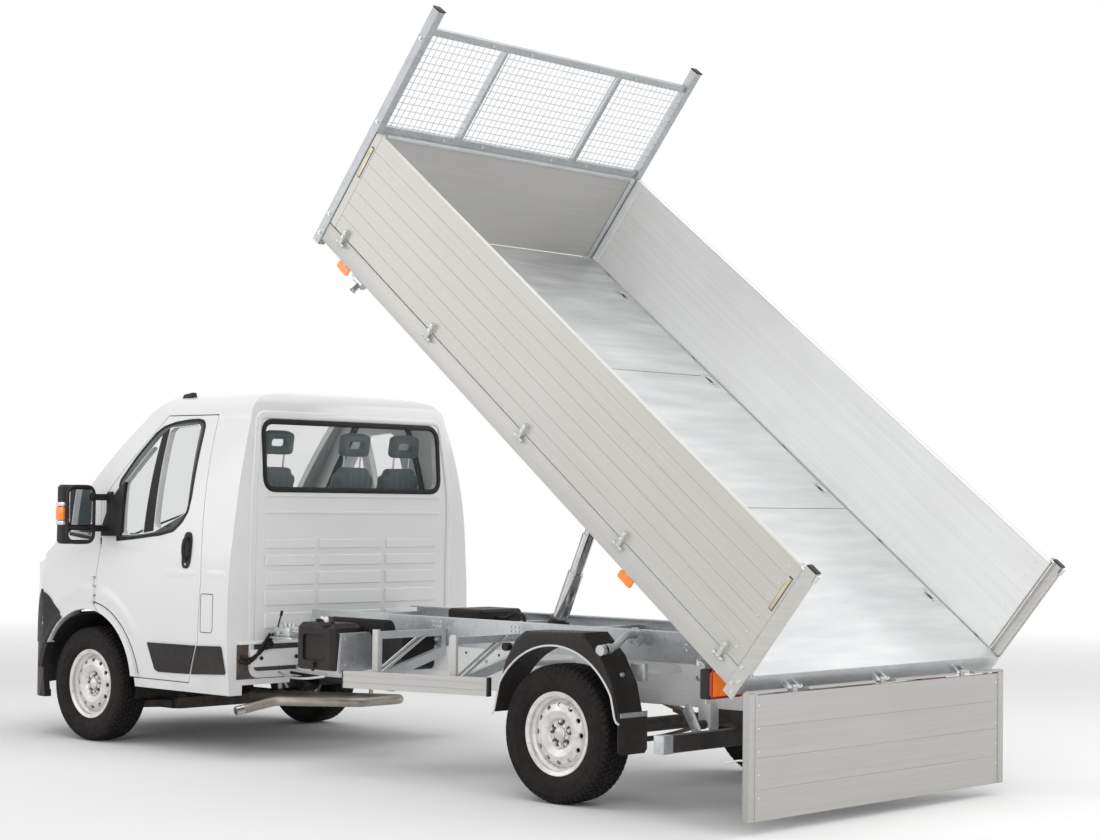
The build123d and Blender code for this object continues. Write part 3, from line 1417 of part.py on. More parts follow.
DASHBOARD_OUTLINE = [
    (90 - SEAT_GAP, 935), (90 - SEAT_GAP, 1170), (-60, 1230), (-230, 1190), (-250, 1000), (-60, 935),
]
DASHBOARD_HALF_WIDTH = CAB_HALF_WIDTH - CAB_WALL - 40
with BuildPart() as dashboard:
    with BuildSketch(side_plane(DASHBOARD_HALF_WIDTH)):
        Polygon(*shifted(DASHBOARD_OUTLINE), align=None)
    extrude(amount=2 * DASHBOARD_HALF_WIDTH)
    add(wheel_wells.part, mode=Mode.SUBTRACT)
save(dashboard, "dashboard")

with BuildPart() as steering_wheel:
    with BuildSketch(Plane(origin=(station(-420), 560, 1150), z_dir=(-0.87, 0, 0.5))):
        with Locations((0, 0)):
            Circle(200)
            Circle(176, mode=Mode.SUBTRACT)
            Rectangle(30, 370)
            Circle(60)
    extrude(amount=24)
    with BuildSketch(Plane(origin=(station(-420), 560, 1150), z_dir=(0.87, 0, -0.5))):
        Circle(28)
    extrude(amount=250)
    # column ends just short of the dashboard
    add(side_prism(DASHBOARD_OUTLINE, SEAT_GAP, reach=(400, 700)), mode=Mode.SUBTRACT)
save(steering_wheel, "steering_wheel")
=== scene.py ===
"""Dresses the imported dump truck: finishes, tyre tread, soft seats, trim, camera and studio."""
import json
import math

import bmesh
import bpy
import numpy as np
from mathutils import Matrix, Vector
from mathutils.bvhtree import BVHTree


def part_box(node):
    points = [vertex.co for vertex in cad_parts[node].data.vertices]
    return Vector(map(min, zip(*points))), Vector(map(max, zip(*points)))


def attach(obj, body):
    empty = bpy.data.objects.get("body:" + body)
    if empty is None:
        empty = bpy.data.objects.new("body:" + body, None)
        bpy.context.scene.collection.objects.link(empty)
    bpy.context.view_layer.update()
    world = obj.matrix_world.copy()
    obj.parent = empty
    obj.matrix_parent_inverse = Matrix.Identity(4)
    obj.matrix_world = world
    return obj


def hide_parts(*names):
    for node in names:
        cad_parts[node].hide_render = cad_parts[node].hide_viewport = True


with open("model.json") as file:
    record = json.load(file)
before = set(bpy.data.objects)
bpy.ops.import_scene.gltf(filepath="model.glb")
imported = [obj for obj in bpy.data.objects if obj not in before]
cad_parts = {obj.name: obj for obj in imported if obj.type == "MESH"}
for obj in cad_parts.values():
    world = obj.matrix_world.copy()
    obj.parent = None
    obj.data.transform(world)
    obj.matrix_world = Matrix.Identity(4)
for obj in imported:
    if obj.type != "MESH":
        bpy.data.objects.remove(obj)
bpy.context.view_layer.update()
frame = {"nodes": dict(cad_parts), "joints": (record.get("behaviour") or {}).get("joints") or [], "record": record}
NODES = frame["nodes"]
JOINTS = {joint["name"]: joint for joint in frame["joints"]}
TAU = 2 * math.pi

# Places, in metres. Stations are measured from the front axle, rearward negative.
AXLE_X = sum(corner.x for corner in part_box("tyre_front_left")) / 2
TIP_ANGLE = math.radians(38.43)
PIVOT_IN_BED = 0.360
PIVOT_BELOW_FLOOR = 0.160
BOARD_SPAN = (0.075, 3.837)


def station(dx):
    """Place along the truck of a distance from the front axle."""
    return AXLE_X + dx


def at(dx, y, z, way=1):
    """Point from a station, a width and a height; way is -1 for its mirror on the right side."""
    return Vector((station(dx), way * y, z))


def bed_matrix():
    """Bed frame: along the floor, left, and square to the floor, from the floor's rear edge."""
    pivot = Vector(JOINTS["bed_tip"]["pos_m"])
    along = Vector((math.cos(TIP_ANGLE), 0, math.sin(TIP_ANGLE)))
    above = Vector((-math.sin(TIP_ANGLE), 0, math.cos(TIP_ANGLE)))
    origin = pivot - along * PIVOT_IN_BED + above * PIVOT_BELOW_FLOOR
    matrix = Matrix.Identity(4)
    for column, axis in enumerate((along, Vector((0, 1, 0)), above)):
        matrix.col[column][:3] = axis
    matrix.translation = origin
    return matrix


BED = bed_matrix()


class Shader:
    """A material with one Principled surface and short ways to add nodes to it."""

    def __init__(self, name, colour, roughness, **sockets):
        self.material = bpy.data.materials.new(name)
        self.material.use_nodes = True
        self.tree = self.material.node_tree
        self.surface = self.tree.nodes["Principled BSDF"]
        self.surface.inputs["Base Color"].default_value = (*colour, 1)
        self.surface.inputs["Roughness"].default_value = roughness
        for socket, value in sockets.items():
            self.surface.inputs[socket.replace("_", " ")].default_value = value
        self.place = self.node("ShaderNodeTexCoord").outputs["Object"]

    def node(self, kind, **inputs):
        made = self.tree.nodes.new(kind)
        for socket, value in inputs.items():
            self.feed(value, made.inputs[socket.replace("_", " ")])
        return made

    def feed(self, value, socket):
        if isinstance(value, bpy.types.NodeSocket):
            self.tree.links.new(value, socket)
        else:
            socket.default_value = value

    def stretched(self, scale, turn):
        turned = self.node("ShaderNodeMapping", Vector=self.place, Rotation=turn).outputs["Vector"]
        return self.node("ShaderNodeMapping", Vector=turned, Scale=scale).outputs["Vector"]

    def noise(self, scale, detail, roughness=0.55, vector=None):
        made = self.node(
            "ShaderNodeTexNoise", Vector=vector or self.place, Scale=scale, Detail=detail, Roughness=roughness
        )
        return made.outputs["Fac"]

    def cells(self, scale, colour=True):
        made = self.node("ShaderNodeTexVoronoi", Vector=self.place, Scale=scale)
        return made.outputs["Color" if colour else "Distance"]

    def spread(self, value, low, high, to_low, to_high):
        """Maps value from low..high onto to_low..to_high, clamped."""
        made = self.node("ShaderNodeMapRange", Value=value)
        for socket, number in zip(("From Min", "From Max", "To Min", "To Max"), (low, high, to_low, to_high)):
            made.inputs[socket].default_value = number
        return made.outputs["Result"]

    def sums(self, kind, first, second):
        made = self.node("ShaderNodeMath")
        made.operation = kind
        self.feed(first, made.inputs[0])
        self.feed(second, made.inputs[1])
        return made.outputs[0]

    def blend(self, share, first, second):
        made = self.node("ShaderNodeMix")
        made.data_type = "RGBA"
        self.feed(share, made.inputs["Factor"])
        for socket, value in zip(made.inputs[6:8], (first, second)):
            self.feed(value if isinstance(value, bpy.types.NodeSocket) else (*value, 1), socket)
        return made.outputs[2]

    def patches(self, grain, *limits):
        """Soft patches of noise; grain is the scale and detail, limits are those of spread."""
        return self.spread(self.noise(*grain), *limits)

    def height(self):
        return self.node("ShaderNodeSeparateXYZ", Vector=self.place).outputs["Z"]

    def colour(self, value):
        self.feed(value, self.surface.inputs["Base Color"])
        return self

    def rough(self, value):
        self.feed(value, self.surface.inputs["Roughness"])
        return self

    def bump(self, height, distance, strength=1.0):
        made = self.node("ShaderNodeBump", Height=height)
        made.inputs["Distance"].default_value = distance
        made.inputs["Strength"].default_value = strength
        self.tree.links.new(made.outputs["Normal"], self.surface.inputs["Normal"])
        return self


def dusty(shader, clean, dust, low, high, reach):
    """Colour that fades to road dust towards the ground, broken up by noise."""
    near_ground = shader.spread(shader.height(), low, high, reach, 0.0)
    patchy = shader.patches((3.5, 5), 0.35, 0.7, 0.0, 1.0)
    return shader.blend(shader.sums("MULTIPLY", near_ground, patchy), clean, dust)


def shaded(share, *tones):
    """Colours, each times a share."""
    return [[c * share for c in tone] for tone in tones]


def white_paint():
    shader = Shader("paint_white", (0.83, 0.83, 0.84), 0.24, Coat_Weight=0.6, Coat_Roughness=0.06)
    tone = shader.blend(shader.patches((0.7, 1), 0.3, 0.7, 0, 1), (0.83, 0.83, 0.835), (0.805, 0.805, 0.81))
    shader.colour(dusty(shader, tone, (0.55, 0.52, 0.48), 0.36, 0.62, 0.35))
    shader.rough(shader.patches((2.5, 1), 0.3, 0.7, 0.3, 0.34))
    return shader.bump(shader.noise(900, 1), 0.00001, 0.3).material


def frame_paint():
    shader = Shader("paint_frame", (0.78, 0.78, 0.78), 0.38, Coat_Weight=0.2, Coat_Roughness=0.2)
    # painted light: the clean white is lighter than the cab's paint, to brighten a frame that stands in shade
    shader.colour(dusty(shader, (0.9, 0.9, 0.905), (0.62, 0.58, 0.53), 0.42, 0.8, 0.3))
    shader.rough(shader.patches((25, 4), 0.3, 0.7, 0.32, 0.5))
    return shader.bump(shader.noise(240, 2), 0.00008).material


def galvanised(name="steel_galvanised", share=1.0):
    shader = Shader(name, (0.5, 0.53, 0.56), 0.42, Metallic=0.75)
    dark, light, worn = shaded(share, (0.46, 0.485, 0.505), (0.64, 0.66, 0.68), (0.7, 0.715, 0.72))
    flakes = shader.node("ShaderNodeRGBToBW", Color=shader.cells(55)).outputs[0]
    fine = shader.node("ShaderNodeRGBToBW", Color=shader.cells(130)).outputs[0]
    spangle = shader.sums("ADD", shader.sums("MULTIPLY", flakes, 0.6), shader.sums("MULTIPLY", fine, 0.4))
    wash = shader.patches((6, 5), 0.35, 0.7, 0, 0.5)
    shader.colour(shader.blend(wash, shader.blend(spangle, dark, light), worn))
    shader.rough(shader.spread(spangle, 0.2, 0.8, 0.32, 0.52))
    return shader.bump(shader.noise(60, 3), 0.0002, 0.4).material


def anodised(name, lengthwise, tilt=0.0, inner=False, share=1.0):
    """Extruded aluminium planks: satin, with die lines along the extrusion; with inner, painted light on the faces
    towards the load space.
    """
    shader = Shader(name, (0.62, 0.61, 0.58), 0.42, Metallic=0.35)
    lines = shader.noise(1.0, 3, 0.6, shader.stretched(lengthwise, (0, tilt, 0)))
    marks = shader.spread(lines, 0.35, 0.65, 0, 1)
    low, high, worn = shaded(share, (0.53, 0.52, 0.493), (0.575, 0.565, 0.537), (0.63, 0.62, 0.60))
    tone = shader.blend(marks, low, high)
    if inner:
        # painted light: the faces towards the load space are made brighter than the outer faces
        across = shader.node("ShaderNodeSeparateXYZ", Vector=shader.place).outputs["Y"]
        painted_light_inside = shader.spread(shader.sums("ABSOLUTE", across, 0.0), 1.128, 1.1285, 1, 0)
        tone = shader.blend(painted_light_inside, tone, shader.blend(marks, (0.81, 0.815, 0.81), (0.87, 0.875, 0.87)))
    wash = shader.patches((1.3, 4), 0.4, 0.75, 0, 0.3)
    shader.colour(shader.blend(wash, tone, worn))
    shader.rough(shader.spread(lines, 0.3, 0.7, 0.38, 0.46))
    return shader.bump(lines, 0.00005, 0.4).material


def floor_metal():
    """Worn aluminium sheet: streaks across the bed, and painted shade that darkens it towards the bulkhead."""
    shader = Shader("aluminium_floor", (0.78, 0.79, 0.8), 0.36, Metallic=0.5)
    rubbed = shader.noise(1.0, 4, 0.55, shader.stretched((11, 1.5, 11), (0, TIP_ANGLE, 0)))
    cloudy = shader.noise(1.7, 4, 0.55)
    streaks = shader.spread(rubbed, 0.32, 0.68, 0, 1)
    bright = shader.blend(streaks, (0.60, 0.61, 0.62), (0.73, 0.735, 0.74))
    # painted shade: the darker streaks take over up the tipped bed, towards the bulkhead, broken by cloudy noise
    painted_shade_tone = shader.blend(streaks, (0.36, 0.365, 0.37), (0.60, 0.605, 0.61))
    top_shade_mask = shader.spread(shader.height(), 2.1, 3.7, -0.1, 1.0)
    far = shader.sums("ADD", top_shade_mask, shader.sums("MULTIPLY", cloudy, 0.2))
    shader.colour(shader.blend(far, bright, painted_shade_tone))
    shader.rough(shader.spread(cloudy, 0.3, 0.7, 0.33, 0.45))
    return shader.bump(shader.noise(60, 2), 0.00004, 0.4).material


def brass():
    shader = Shader("metal_passivated", (0.56, 0.5, 0.34), 0.35, Metallic=0.8)
    shader.colour(shader.blend(shader.noise(30, 3), (0.5, 0.46, 0.33), (0.64, 0.58, 0.42)))
    return shader.bump(shader.noise(200, 2), 0.00004).material


def plate_white():
    shader = Shader("plate_blank", (0.75, 0.75, 0.73), 0.4)
    shader.colour(shader.blend(shader.noise(12, 2), (0.72, 0.72, 0.7), (0.79, 0.79, 0.77)))
    return shader.material


def black_plastic():
    shader = Shader("plastic_black", (0.03, 0.03, 0.032), 0.5, Specular_IOR_Level=0.3)
    tone = shader.patches((5, 4), 0.3, 0.7, 0, 1)
    black = shader.blend(tone, (0.014, 0.0118, 0.011), (0.024, 0.0205, 0.0195))
    shader.colour(dusty(shader, black, (0.07, 0.062, 0.056), 0.3, 0.9, 0.5))
    shader.rough(shader.patches((30, 3), 0.3, 0.7, 0.42, 0.6))
    return shader.bump(shader.cells(650, colour=False), 0.0002, 0.5).material


def tyre_rubber():
    shader = Shader("rubber_tyre", (0.022, 0.021, 0.021), 0.75, Specular_IOR_Level=0.25)
    dust = shader.patches((9, 6, 0.65), 0.4, 0.72, 0, 0.6)
    shader.colour(shader.blend(dust, (0.0085, 0.0072, 0.0068), (0.026, 0.022, 0.0195)))
    shader.rough(shader.patches((40, 3), 0.3, 0.7, 0.62, 0.85))
    return shader.bump(shader.noise(420, 3), 0.0002, 0.6).material


def rubber():
    shader = Shader("rubber_black", (0.016, 0.015, 0.015), 0.6, Specular_IOR_Level=0.3)
    shader.colour(shader.blend(shader.noise(12, 3), (0.007, 0.0065, 0.0065), (0.016, 0.0145, 0.014)))
    return shader.bump(shader.noise(300, 2), 0.0001, 0.5).material


def silver_paint():
    shader = Shader("paint_silver", (0.75, 0.75, 0.74), 0.3, Metallic=0.4, Coat_Weight=0.4)
    grime = shader.patches((16, 6, 0.65), 0.42, 0.7, 0, 0.6)
    shader.colour(shader.blend(grime, (0.8, 0.79, 0.78), (0.46, 0.43, 0.41)))
    shader.rough(shader.patches((24, 3), 0.3, 0.7, 0.26, 0.42))
    return shader.bump(shader.noise(500, 2), 0.00003).material


def chrome():
    shader = Shader("chrome_rod", (0.66, 0.66, 0.67), 0.12, Metallic=1.0)
    haze = shader.patches((20, 5), 0.4, 0.7, 0, 0.5)
    shader.colour(shader.blend(haze, (0.68, 0.68, 0.68), (0.46, 0.44, 0.42)))
    shader.rough(shader.patches((35, 4), 0.3, 0.7, 0.08, 0.2))
    return shader.bump(shader.noise(90, 2), 0.00002).material


def black_paint():
    shader = Shader("paint_black", (0.022, 0.02, 0.02), 0.35, Coat_Weight=0.2)
    shader.colour(dusty(shader, (0.02, 0.018, 0.018), (0.1, 0.085, 0.075), 0.3, 0.9, 0.6))
    shader.rough(shader.patches((22, 4), 0.3, 0.7, 0.3, 0.5))
    return shader.bump(shader.noise(150, 2), 0.0001, 0.5).material


def dark_metal():
    shader = Shader("metal_dark_and_shade", (0.1, 0.095, 0.09), 0.6, Metallic=0.5)
    rust = shader.patches((11, 6, 0.65), 0.45, 0.68, 0, 0.8)
    shader.colour(shader.blend(rust, (0.085, 0.082, 0.08), (0.19, 0.12, 0.075)))
    shader.rough(shader.patches((30, 4), 0.3, 0.7, 0.5, 0.75))
    return shader.bump(shader.noise(130, 4), 0.0003, 0.6).material


def exhaust_steel():
    shader = Shader("steel_exhaust", (0.42, 0.37, 0.33), 0.42, Metallic=0.85)
    heat = shader.patches((5, 5, 0.6), 0.35, 0.7, 0, 1)
    shader.colour(shader.blend(heat, (0.56, 0.53, 0.5), (0.36, 0.3, 0.25)))
    shader.rough(shader.patches((26, 4), 0.3, 0.7, 0.32, 0.6))
    return shader.bump(shader.noise(140, 3), 0.0002, 0.5).material


def zinc():
    shader = Shader("zinc_plated", (0.66, 0.68, 0.66), 0.3, Metallic=0.9)
    shader.colour(shader.blend(shader.noise(30, 3), (0.58, 0.6, 0.57), (0.74, 0.76, 0.75)))
    return shader.bump(shader.noise(200, 2), 0.00005, 0.5).material


def lens(name, colour, glow):
    shader = Shader(name, colour, 0.12, Coat_Weight=0.6, IOR=1.49)
    shader.colour(shader.blend(shader.patches((40, 2), 0.3, 0.7, 0, 0.4), colour, [c * 0.55 for c in colour]))
    ribs = shader.node("ShaderNodeTexWave", Vector=shader.place, Scale=70.0)
    shader.surface.inputs["Emission Color"].default_value = (*colour, 1)
    shader.surface.inputs["Emission Strength"].default_value = glow
    return shader.bump(ribs.outputs["Fac"], 0.0003, 0.4).material


def clear_lens():
    shader = Shader("lens_clear", (0.8, 0.82, 0.84), 0.08, Coat_Weight=0.8, Metallic=0.4)
    ribs = shader.node("ShaderNodeTexWave", Vector=shader.place, Scale=45.0)
    shader.colour(shader.blend(ribs.outputs["Fac"], (0.62, 0.65, 0.68), (0.88, 0.9, 0.92)))
    return shader.bump(ribs.outputs["Fac"], 0.0005, 0.5).material


def glass():
    """Green-tinted glazing: mostly lets light through, with a clear gloss."""
    shader = Shader("glass_tinted", (0.78, 0.86, 0.84), 0.02, IOR=1.45)
    shader.surface.inputs["Transmission Weight"].default_value = 0.0
    shader.surface.inputs["Alpha"].default_value = 0.09
    smear = shader.patches((6, 4), 0.35, 0.7, 0.01, 0.05)
    shader.rough(smear)
    shader.colour(shader.blend(shader.noise(2, 2), (0.12, 0.17, 0.16), (0.16, 0.21, 0.2)))
    shader.material.surface_render_method = "DITHERED"
    return shader.material


def glass_print():
    """Glass over dark trim: nearly black, with a green cast and a clear gloss."""
    shader = Shader("glass_dark", (0.03, 0.045, 0.043), 0.05, IOR=1.45)
    cast = shader.patches((5, 3), 0.35, 0.65, 0, 1)
    shader.colour(shader.blend(cast, (0.02, 0.03, 0.03), (0.07, 0.1, 0.095)))
    shader.rough(shader.patches((6, 4), 0.35, 0.7, 0.03, 0.08))
    return shader.material


def mirror_glass():
    shader = Shader("mirror_face", (0.75, 0.78, 0.8), 0.03, Metallic=1.0)
    shader.colour(shader.blend(shader.noise(5, 2), (0.72, 0.75, 0.78), (0.8, 0.82, 0.84)))
    return shader.material


def seat_fabric():
    shader = Shader("fabric_seat", (0.1, 0.125, 0.135), 0.85, Sheen_Weight=0.35, Sheen_Roughness=0.4)
    weave = shader.node("ShaderNodeTexWave", Vector=shader.place, Scale=160.0, Distortion=0.6)
    across = shader.node("ShaderNodeTexWave", Vector=shader.place, Scale=160.0, Distortion=0.6)
    across.bands_direction = "Z"
    cloth = shader.sums("MULTIPLY", weave.outputs["Fac"], across.outputs["Fac"])
    faded = shader.blend(shader.noise(7, 4), (0.085, 0.105, 0.115), (0.14, 0.165, 0.175))
    shader.colour(shader.blend(cloth, faded, (0.2, 0.23, 0.24)))
    return shader.bump(cloth, 0.0006, 0.7).material


def trim_grey():
    shader = Shader("plastic_grey", (0.2, 0.2, 0.21), 0.55)
    shader.colour(shader.blend(shader.noise(8, 3), (0.17, 0.17, 0.18), (0.235, 0.235, 0.24)))
    return shader.bump(shader.cells(500, colour=False), 0.0002, 0.4).material


MATERIALS = {
    "tyre_rubber": tyre_rubber(), "wheel_paint": silver_paint(), "glass": glass(),
    "floor_metal": floor_metal(), "anodised": anodised("aluminium_planks", (1.2, 6, 60)),
    "galvanised": galvanised(), "white_paint": white_paint(), "black_plastic": black_plastic(),
    "red_lens": lens("lens_red", (0.5, 0.012, 0.012), 0.15),
    "amber_lens": lens("lens_amber", (1.0, 0.22, 0.01), 0.35), "clear_lens": clear_lens(),
    "seat_fabric": seat_fabric(), "chrome": chrome(), "black_paint": black_paint(),
    "dark_metal": dark_metal(),
}
FRAME_PAINT = frame_paint()
RUBBER = rubber()
ZINC = zinc()
EXHAUST_STEEL = exhaust_steel()
MIRROR_GLASS = mirror_glass()
TRIM_GREY = trim_grey()
GLASS_PRINT = glass_print()
BOARD_METAL = anodised("aluminium_boards", (1.0, 6, 70), TIP_ANGLE, True)
# the tailgate and bulkhead planks take the plank colours times 0.80: painted shade
GATE_METAL = anodised("aluminium_crosswise", (50, 0.9, 50), share=0.80)
HEADBOARD_STEEL = galvanised("steel_headboard", 0.72)
BRASS = brass()
PLATE_WHITE = plate_white()
BLACK = MATERIALS["black_plastic"]
WHITE = MATERIALS["white_paint"]
GALVANISED = MATERIALS["galvanised"]
ANODISED = MATERIALS["anodised"]
CHROME = MATERIALS["chrome"]
# dark, rusty metal, also laid as painted shade over holes and recesses
DARK_METAL_AND_SHADE = MATERIALS["dark_metal"]
AMBER_LENS = MATERIALS["amber_lens"]
CLEAR_LENS = MATERIALS["clear_lens"]
# CAD nodes with a finish of their own
SPECIAL = {
    "side_board_left": BOARD_METAL, "side_board_right": BOARD_METAL, "tailgate": GATE_METAL,
    "bulkhead": GATE_METAL, "headboard_frame": HEADBOARD_STEEL, "chassis_frame": FRAME_PAINT,
    "exhaust": EXHAUST_STEEL, "body_seals": RUBBER, "dashboard": TRIM_GREY, "cab_floor": TRIM_GREY,
}
# finishes that go by the slot of another one
VARIANTS = {
    "black_plastic": (RUBBER, TRIM_GREY), "galvanised": (ZINC,), "glass": (MIRROR_GLASS, GLASS_PRINT),
    "white_paint": (FRAME_PAINT, PLATE_WHITE), "anodised": (BOARD_METAL, GATE_METAL, BRASS),
}
SLOTS = {made.name: slot for slot, made in MATERIALS.items()}
SLOTS.update({made.name: slot for slot, group in VARIANTS.items() for made in group})


def dress_cad_nodes():
    """Gives each CAD node the finish of its slot, or its own."""
    slots = {row["node"]: row["material_slot"] for row in frame["record"]["subparts"]}
    for name, node in NODES.items():
        material = SPECIAL.get(name, MATERIALS[slots[name]])
        node.data.materials.clear()
        node.data.materials.append(material)


dress_cad_nodes()


ROD_SIDES = 20
WASHER_THICK = 0.002
# corner radius of a hexagon over half its width across flats
HEXAGON = 1.12


class Kit:
    """Collects closed forms into one mesh; its matrix leads from their frame to the truck's."""

    def __init__(self, matrix=None):
        self.mesh = bmesh.new()
        self.matrix = matrix or Matrix.Identity(4)

    def take(self, made, bevel=0.0):
        if bevel:
            bmesh.ops.bevel(
                made, geom=made.edges[:], offset=bevel, segments=2, profile=0.5, affect="EDGES",
                clamp_overlap=True,
            )
        made.transform(self.matrix)
        scratch = bpy.data.meshes.new("scratch")
        made.to_mesh(scratch)
        made.free()
        self.mesh.from_mesh(scratch)
        bpy.data.meshes.remove(scratch)
        return self

    def box(self, low, high, bevel=0.0, turn=None):
        """Box between two corners; turn is a matrix that turns it about its own middle."""
        low, high = Vector(low), Vector(high)
        made = bmesh.new()
        bmesh.ops.create_cube(made, size=1.0)
        size = Matrix.Diagonal((*(abs(h - l) for l, h in zip(low, high)), 1))
        made.transform(Matrix.Translation((low + high) / 2) @ (turn or Matrix.Identity(4)) @ size)
        return self.take(made, bevel)

    def rod(self, start, end, radius, sides=ROD_SIDES, bevel=0.0):
        start, end = Vector(start), Vector(end)
        made = bmesh.new()
        bmesh.ops.create_cone(
            made, cap_ends=True, segments=sides, radius1=radius, radius2=radius, depth=(end - start).length
        )
        turn = (end - start).to_track_quat("Z", "Y").to_matrix().to_4x4()
        made.transform(Matrix.Translation((start + end) / 2) @ turn)
        if bevel:
            rims = [e for e in made.edges if any(len(f.verts) > 4 for f in e.link_faces)]
            bmesh.ops.bevel(made, geom=rims, offset=bevel, segments=2, profile=0.5, affect="EDGES")
        return self.take(made)

    def boxes(self, *rows):
        for row in rows:
            self.box(*row)

    def rods(self, *rows):
        """Rods in rows of start, end, radius, bevel and number of sides."""
        for start, end, radius, bevel, *sides in rows:
            self.rod(start, end, radius, *(sides or (ROD_SIDES,)), bevel)

    def bolt(self, place, direction, across, height, washer):
        """Hexagon head on a washer, seated on a face at place."""
        place, direction = Vector(place), Vector(direction).normalized()
        self.rod(place - direction * 0.001, place + direction * WASHER_THICK, washer, sides=18)
        start, top = place + direction * 0.0015, place + direction * (WASHER_THICK + height)
        return self.rod(start, top, across / 2 * HEXAGON, sides=6, bevel=0.0006)

    def lathe(self, profile, centre, axis, segments):
        """Closed profile of (along, radius) pairs turned about axis through centre."""
        centre, axis = Vector(centre), Vector(axis).normalized()
        side = axis.orthogonal().normalized()
        other = axis.cross(side)
        made = bmesh.new()
        rings = []
        for step in range(segments):
            angle = TAU * step / segments
            out = side * math.cos(angle) + other * math.sin(angle)
            rings.append([made.verts.new(centre + axis * a + out * r) for a, r in profile])
        count = len(profile)
        for step in range(segments):
            ring, following = rings[step], rings[(step + 1) % segments]
            for k in range(count):
                nxt = (k + 1) % count
                made.faces.new((ring[k], ring[nxt], following[nxt], following[k]))
        bmesh.ops.remove_doubles(made, verts=made.verts[:], dist=1e-6)
        bmesh.ops.recalc_face_normals(made, faces=made.faces[:])
        return self.take(made)

    def prism(self, outline, base, normal, depth, bevel=0.0):
        """Outline of (right, up) points at base, pushed depth along normal."""
        normal = Vector(normal).normalized()
        right = Vector((0, 0, 1)).cross(normal).normalized()
        high = normal.cross(right)
        base = Vector(base)
        made = bmesh.new()
        near = [made.verts.new(base + right * a + high * b) for a, b in outline]
        far = [made.verts.new(v.co + normal * depth) for v in near]
        made.faces.new(near)
        made.faces.new(far[::-1])
        for k in range(len(near)):
            nxt = (k + 1) % len(near)
            made.faces.new((near[k], far[k], far[nxt], near[nxt]))
        bmesh.ops.recalc_face_normals(made, faces=made.faces[:])
        return self.take(made, bevel)

    def ribbon(self, rows, closed=False):
        """Skin through rows of equal length, closed round each row, capped at the ends unless closed."""
        made = bmesh.new()
        rings = [[made.verts.new(p) for p in row] for row in rows]
        pairs = list(zip(rings, rings[1:] + rings[:1])) if closed else list(zip(rings, rings[1:]))
        for ring, following in pairs:
            for k in range(len(ring)):
                nxt = (k + 1) % len(ring)
                made.faces.new((ring[k], ring[nxt], following[nxt], following[k]))
        if not closed:
            made.faces.new(rings[0][::-1])
            made.faces.new(rings[-1])
        bmesh.ops.recalc_face_normals(made, faces=made.faces[:])
        return self.take(made)

    def pipe(self, points, radius, sides, closed=False):
        """Round pipe through points, turned without twist."""
        points = [Vector(p) for p in points]
        count = len(points)
        rows, normal = [], None
        for k, point in enumerate(points):
            before = points[k - 1] if (k or closed) else point
            after = points[(k + 1) % count] if (k < count - 1 or closed) else point
            tangent = (after - before).normalized()
            if normal is None:
                normal = tangent.orthogonal().normalized()
            normal = (normal - tangent * normal.dot(tangent)).normalized()
            other = tangent.cross(normal)
            rows.append([
                point + (normal * math.cos(TAU * s / sides) + other * math.sin(TAU * s / sides)) * radius
                for s in range(sides)
            ])
        return self.ribbon(rows, closed)

    def done(self, name, material, body, smooth=35.0, replaces=()):
        """Makes what was collected one piece that rides on a body, and starts the next one empty."""
        data = bpy.data.meshes.new(name)
        self.mesh.to_mesh(data)
        self.mesh.clear()
        data.materials.append(material)
        made = bpy.data.objects.new(name, data)
        bpy.context.scene.collection.objects.link(made)
        data.shade_smooth()
        data.set_sharp_from_angle(angle=math.radians(smooth))
        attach(made, body)
        for node in replaces:
            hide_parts(node)
        return made


# Tyres: a carcass with ringed walls, and tread blocks in five rows. Lengths in metres.
TYRE_RADIUS = 0.365
TREAD_PITCHES = 66
# columns: inner edge, outer edge, height at inner edge, height at outer edge, skew, share of the pitch
TREAD_ROWS = (
    (-0.015, 0.015, 0.0, 0.0, 0.10, 0.90),
    (0.021, 0.047, 0.0002, 0.0012, 0.35, 0.80),
    (0.053, 0.079, 0.0015, 0.0040, -0.25, 0.80),
    (0.085, 0.1035, 0.0050, 0.0190, 0.0, 0.72),
)
BLOCK_DEPTH = 0.0085
BLOCK_CHAMFER = 0.0014
BLOCK_INSET = 0.0011
ROW_STAGGER = 0.35
# short rib where the wall meets the shoulder, columns: across, radius; and its share of the pitch
RIB_OUTLINE = ((0.1010, 0.3445), (0.1062, 0.3225), (0.1082, 0.3240), (0.1042, 0.3440), (0.1015, 0.3475))
RIB_SHARE = 0.16


def tread_block(mesh, centre, side, row, middle):
    """One chamfered tread block of a row, at an angle."""
    inner, outer, drop_in, drop_out, skew, share = row
    half = TAU / TREAD_PITCHES * share / 2
    rings = []
    for depth, shrink in ((BLOCK_DEPTH, 0.0), (BLOCK_CHAMFER, 0.0), (0.0, BLOCK_INSET)):
        ring = []
        for across, drop, lean in ((inner, drop_in, -1), (outer, drop_out, 1)):
            edge = across - lean * shrink
            radius = TYRE_RADIUS - drop - depth
            turned = middle + skew * half * lean
            trim = shrink / TYRE_RADIUS
            for turn in (-half + trim, half - trim):
                ring.append((edge, radius, turned + turn))
        rings.append([ring[0], ring[1], ring[3], ring[2]])
    verts = [
        [mesh.verts.new(wheel_point(centre, side, *corner)) for corner in ring] for ring in rings
    ]
    for low, high in zip(verts, verts[1:]):
        for k in range(4):
            nxt = (k + 1) % 4
            mesh.faces.new((low[k], low[nxt], high[nxt], high[k]))
    mesh.faces.new(verts[-1])
    mesh.faces.new(verts[0][::-1])


def wheel_point(centre, side, across, radius, angle):
    """Point on a wheel from a width, a radius and an angle."""
    return centre + Vector((radius * math.cos(angle), side * across, radius * math.sin(angle)))


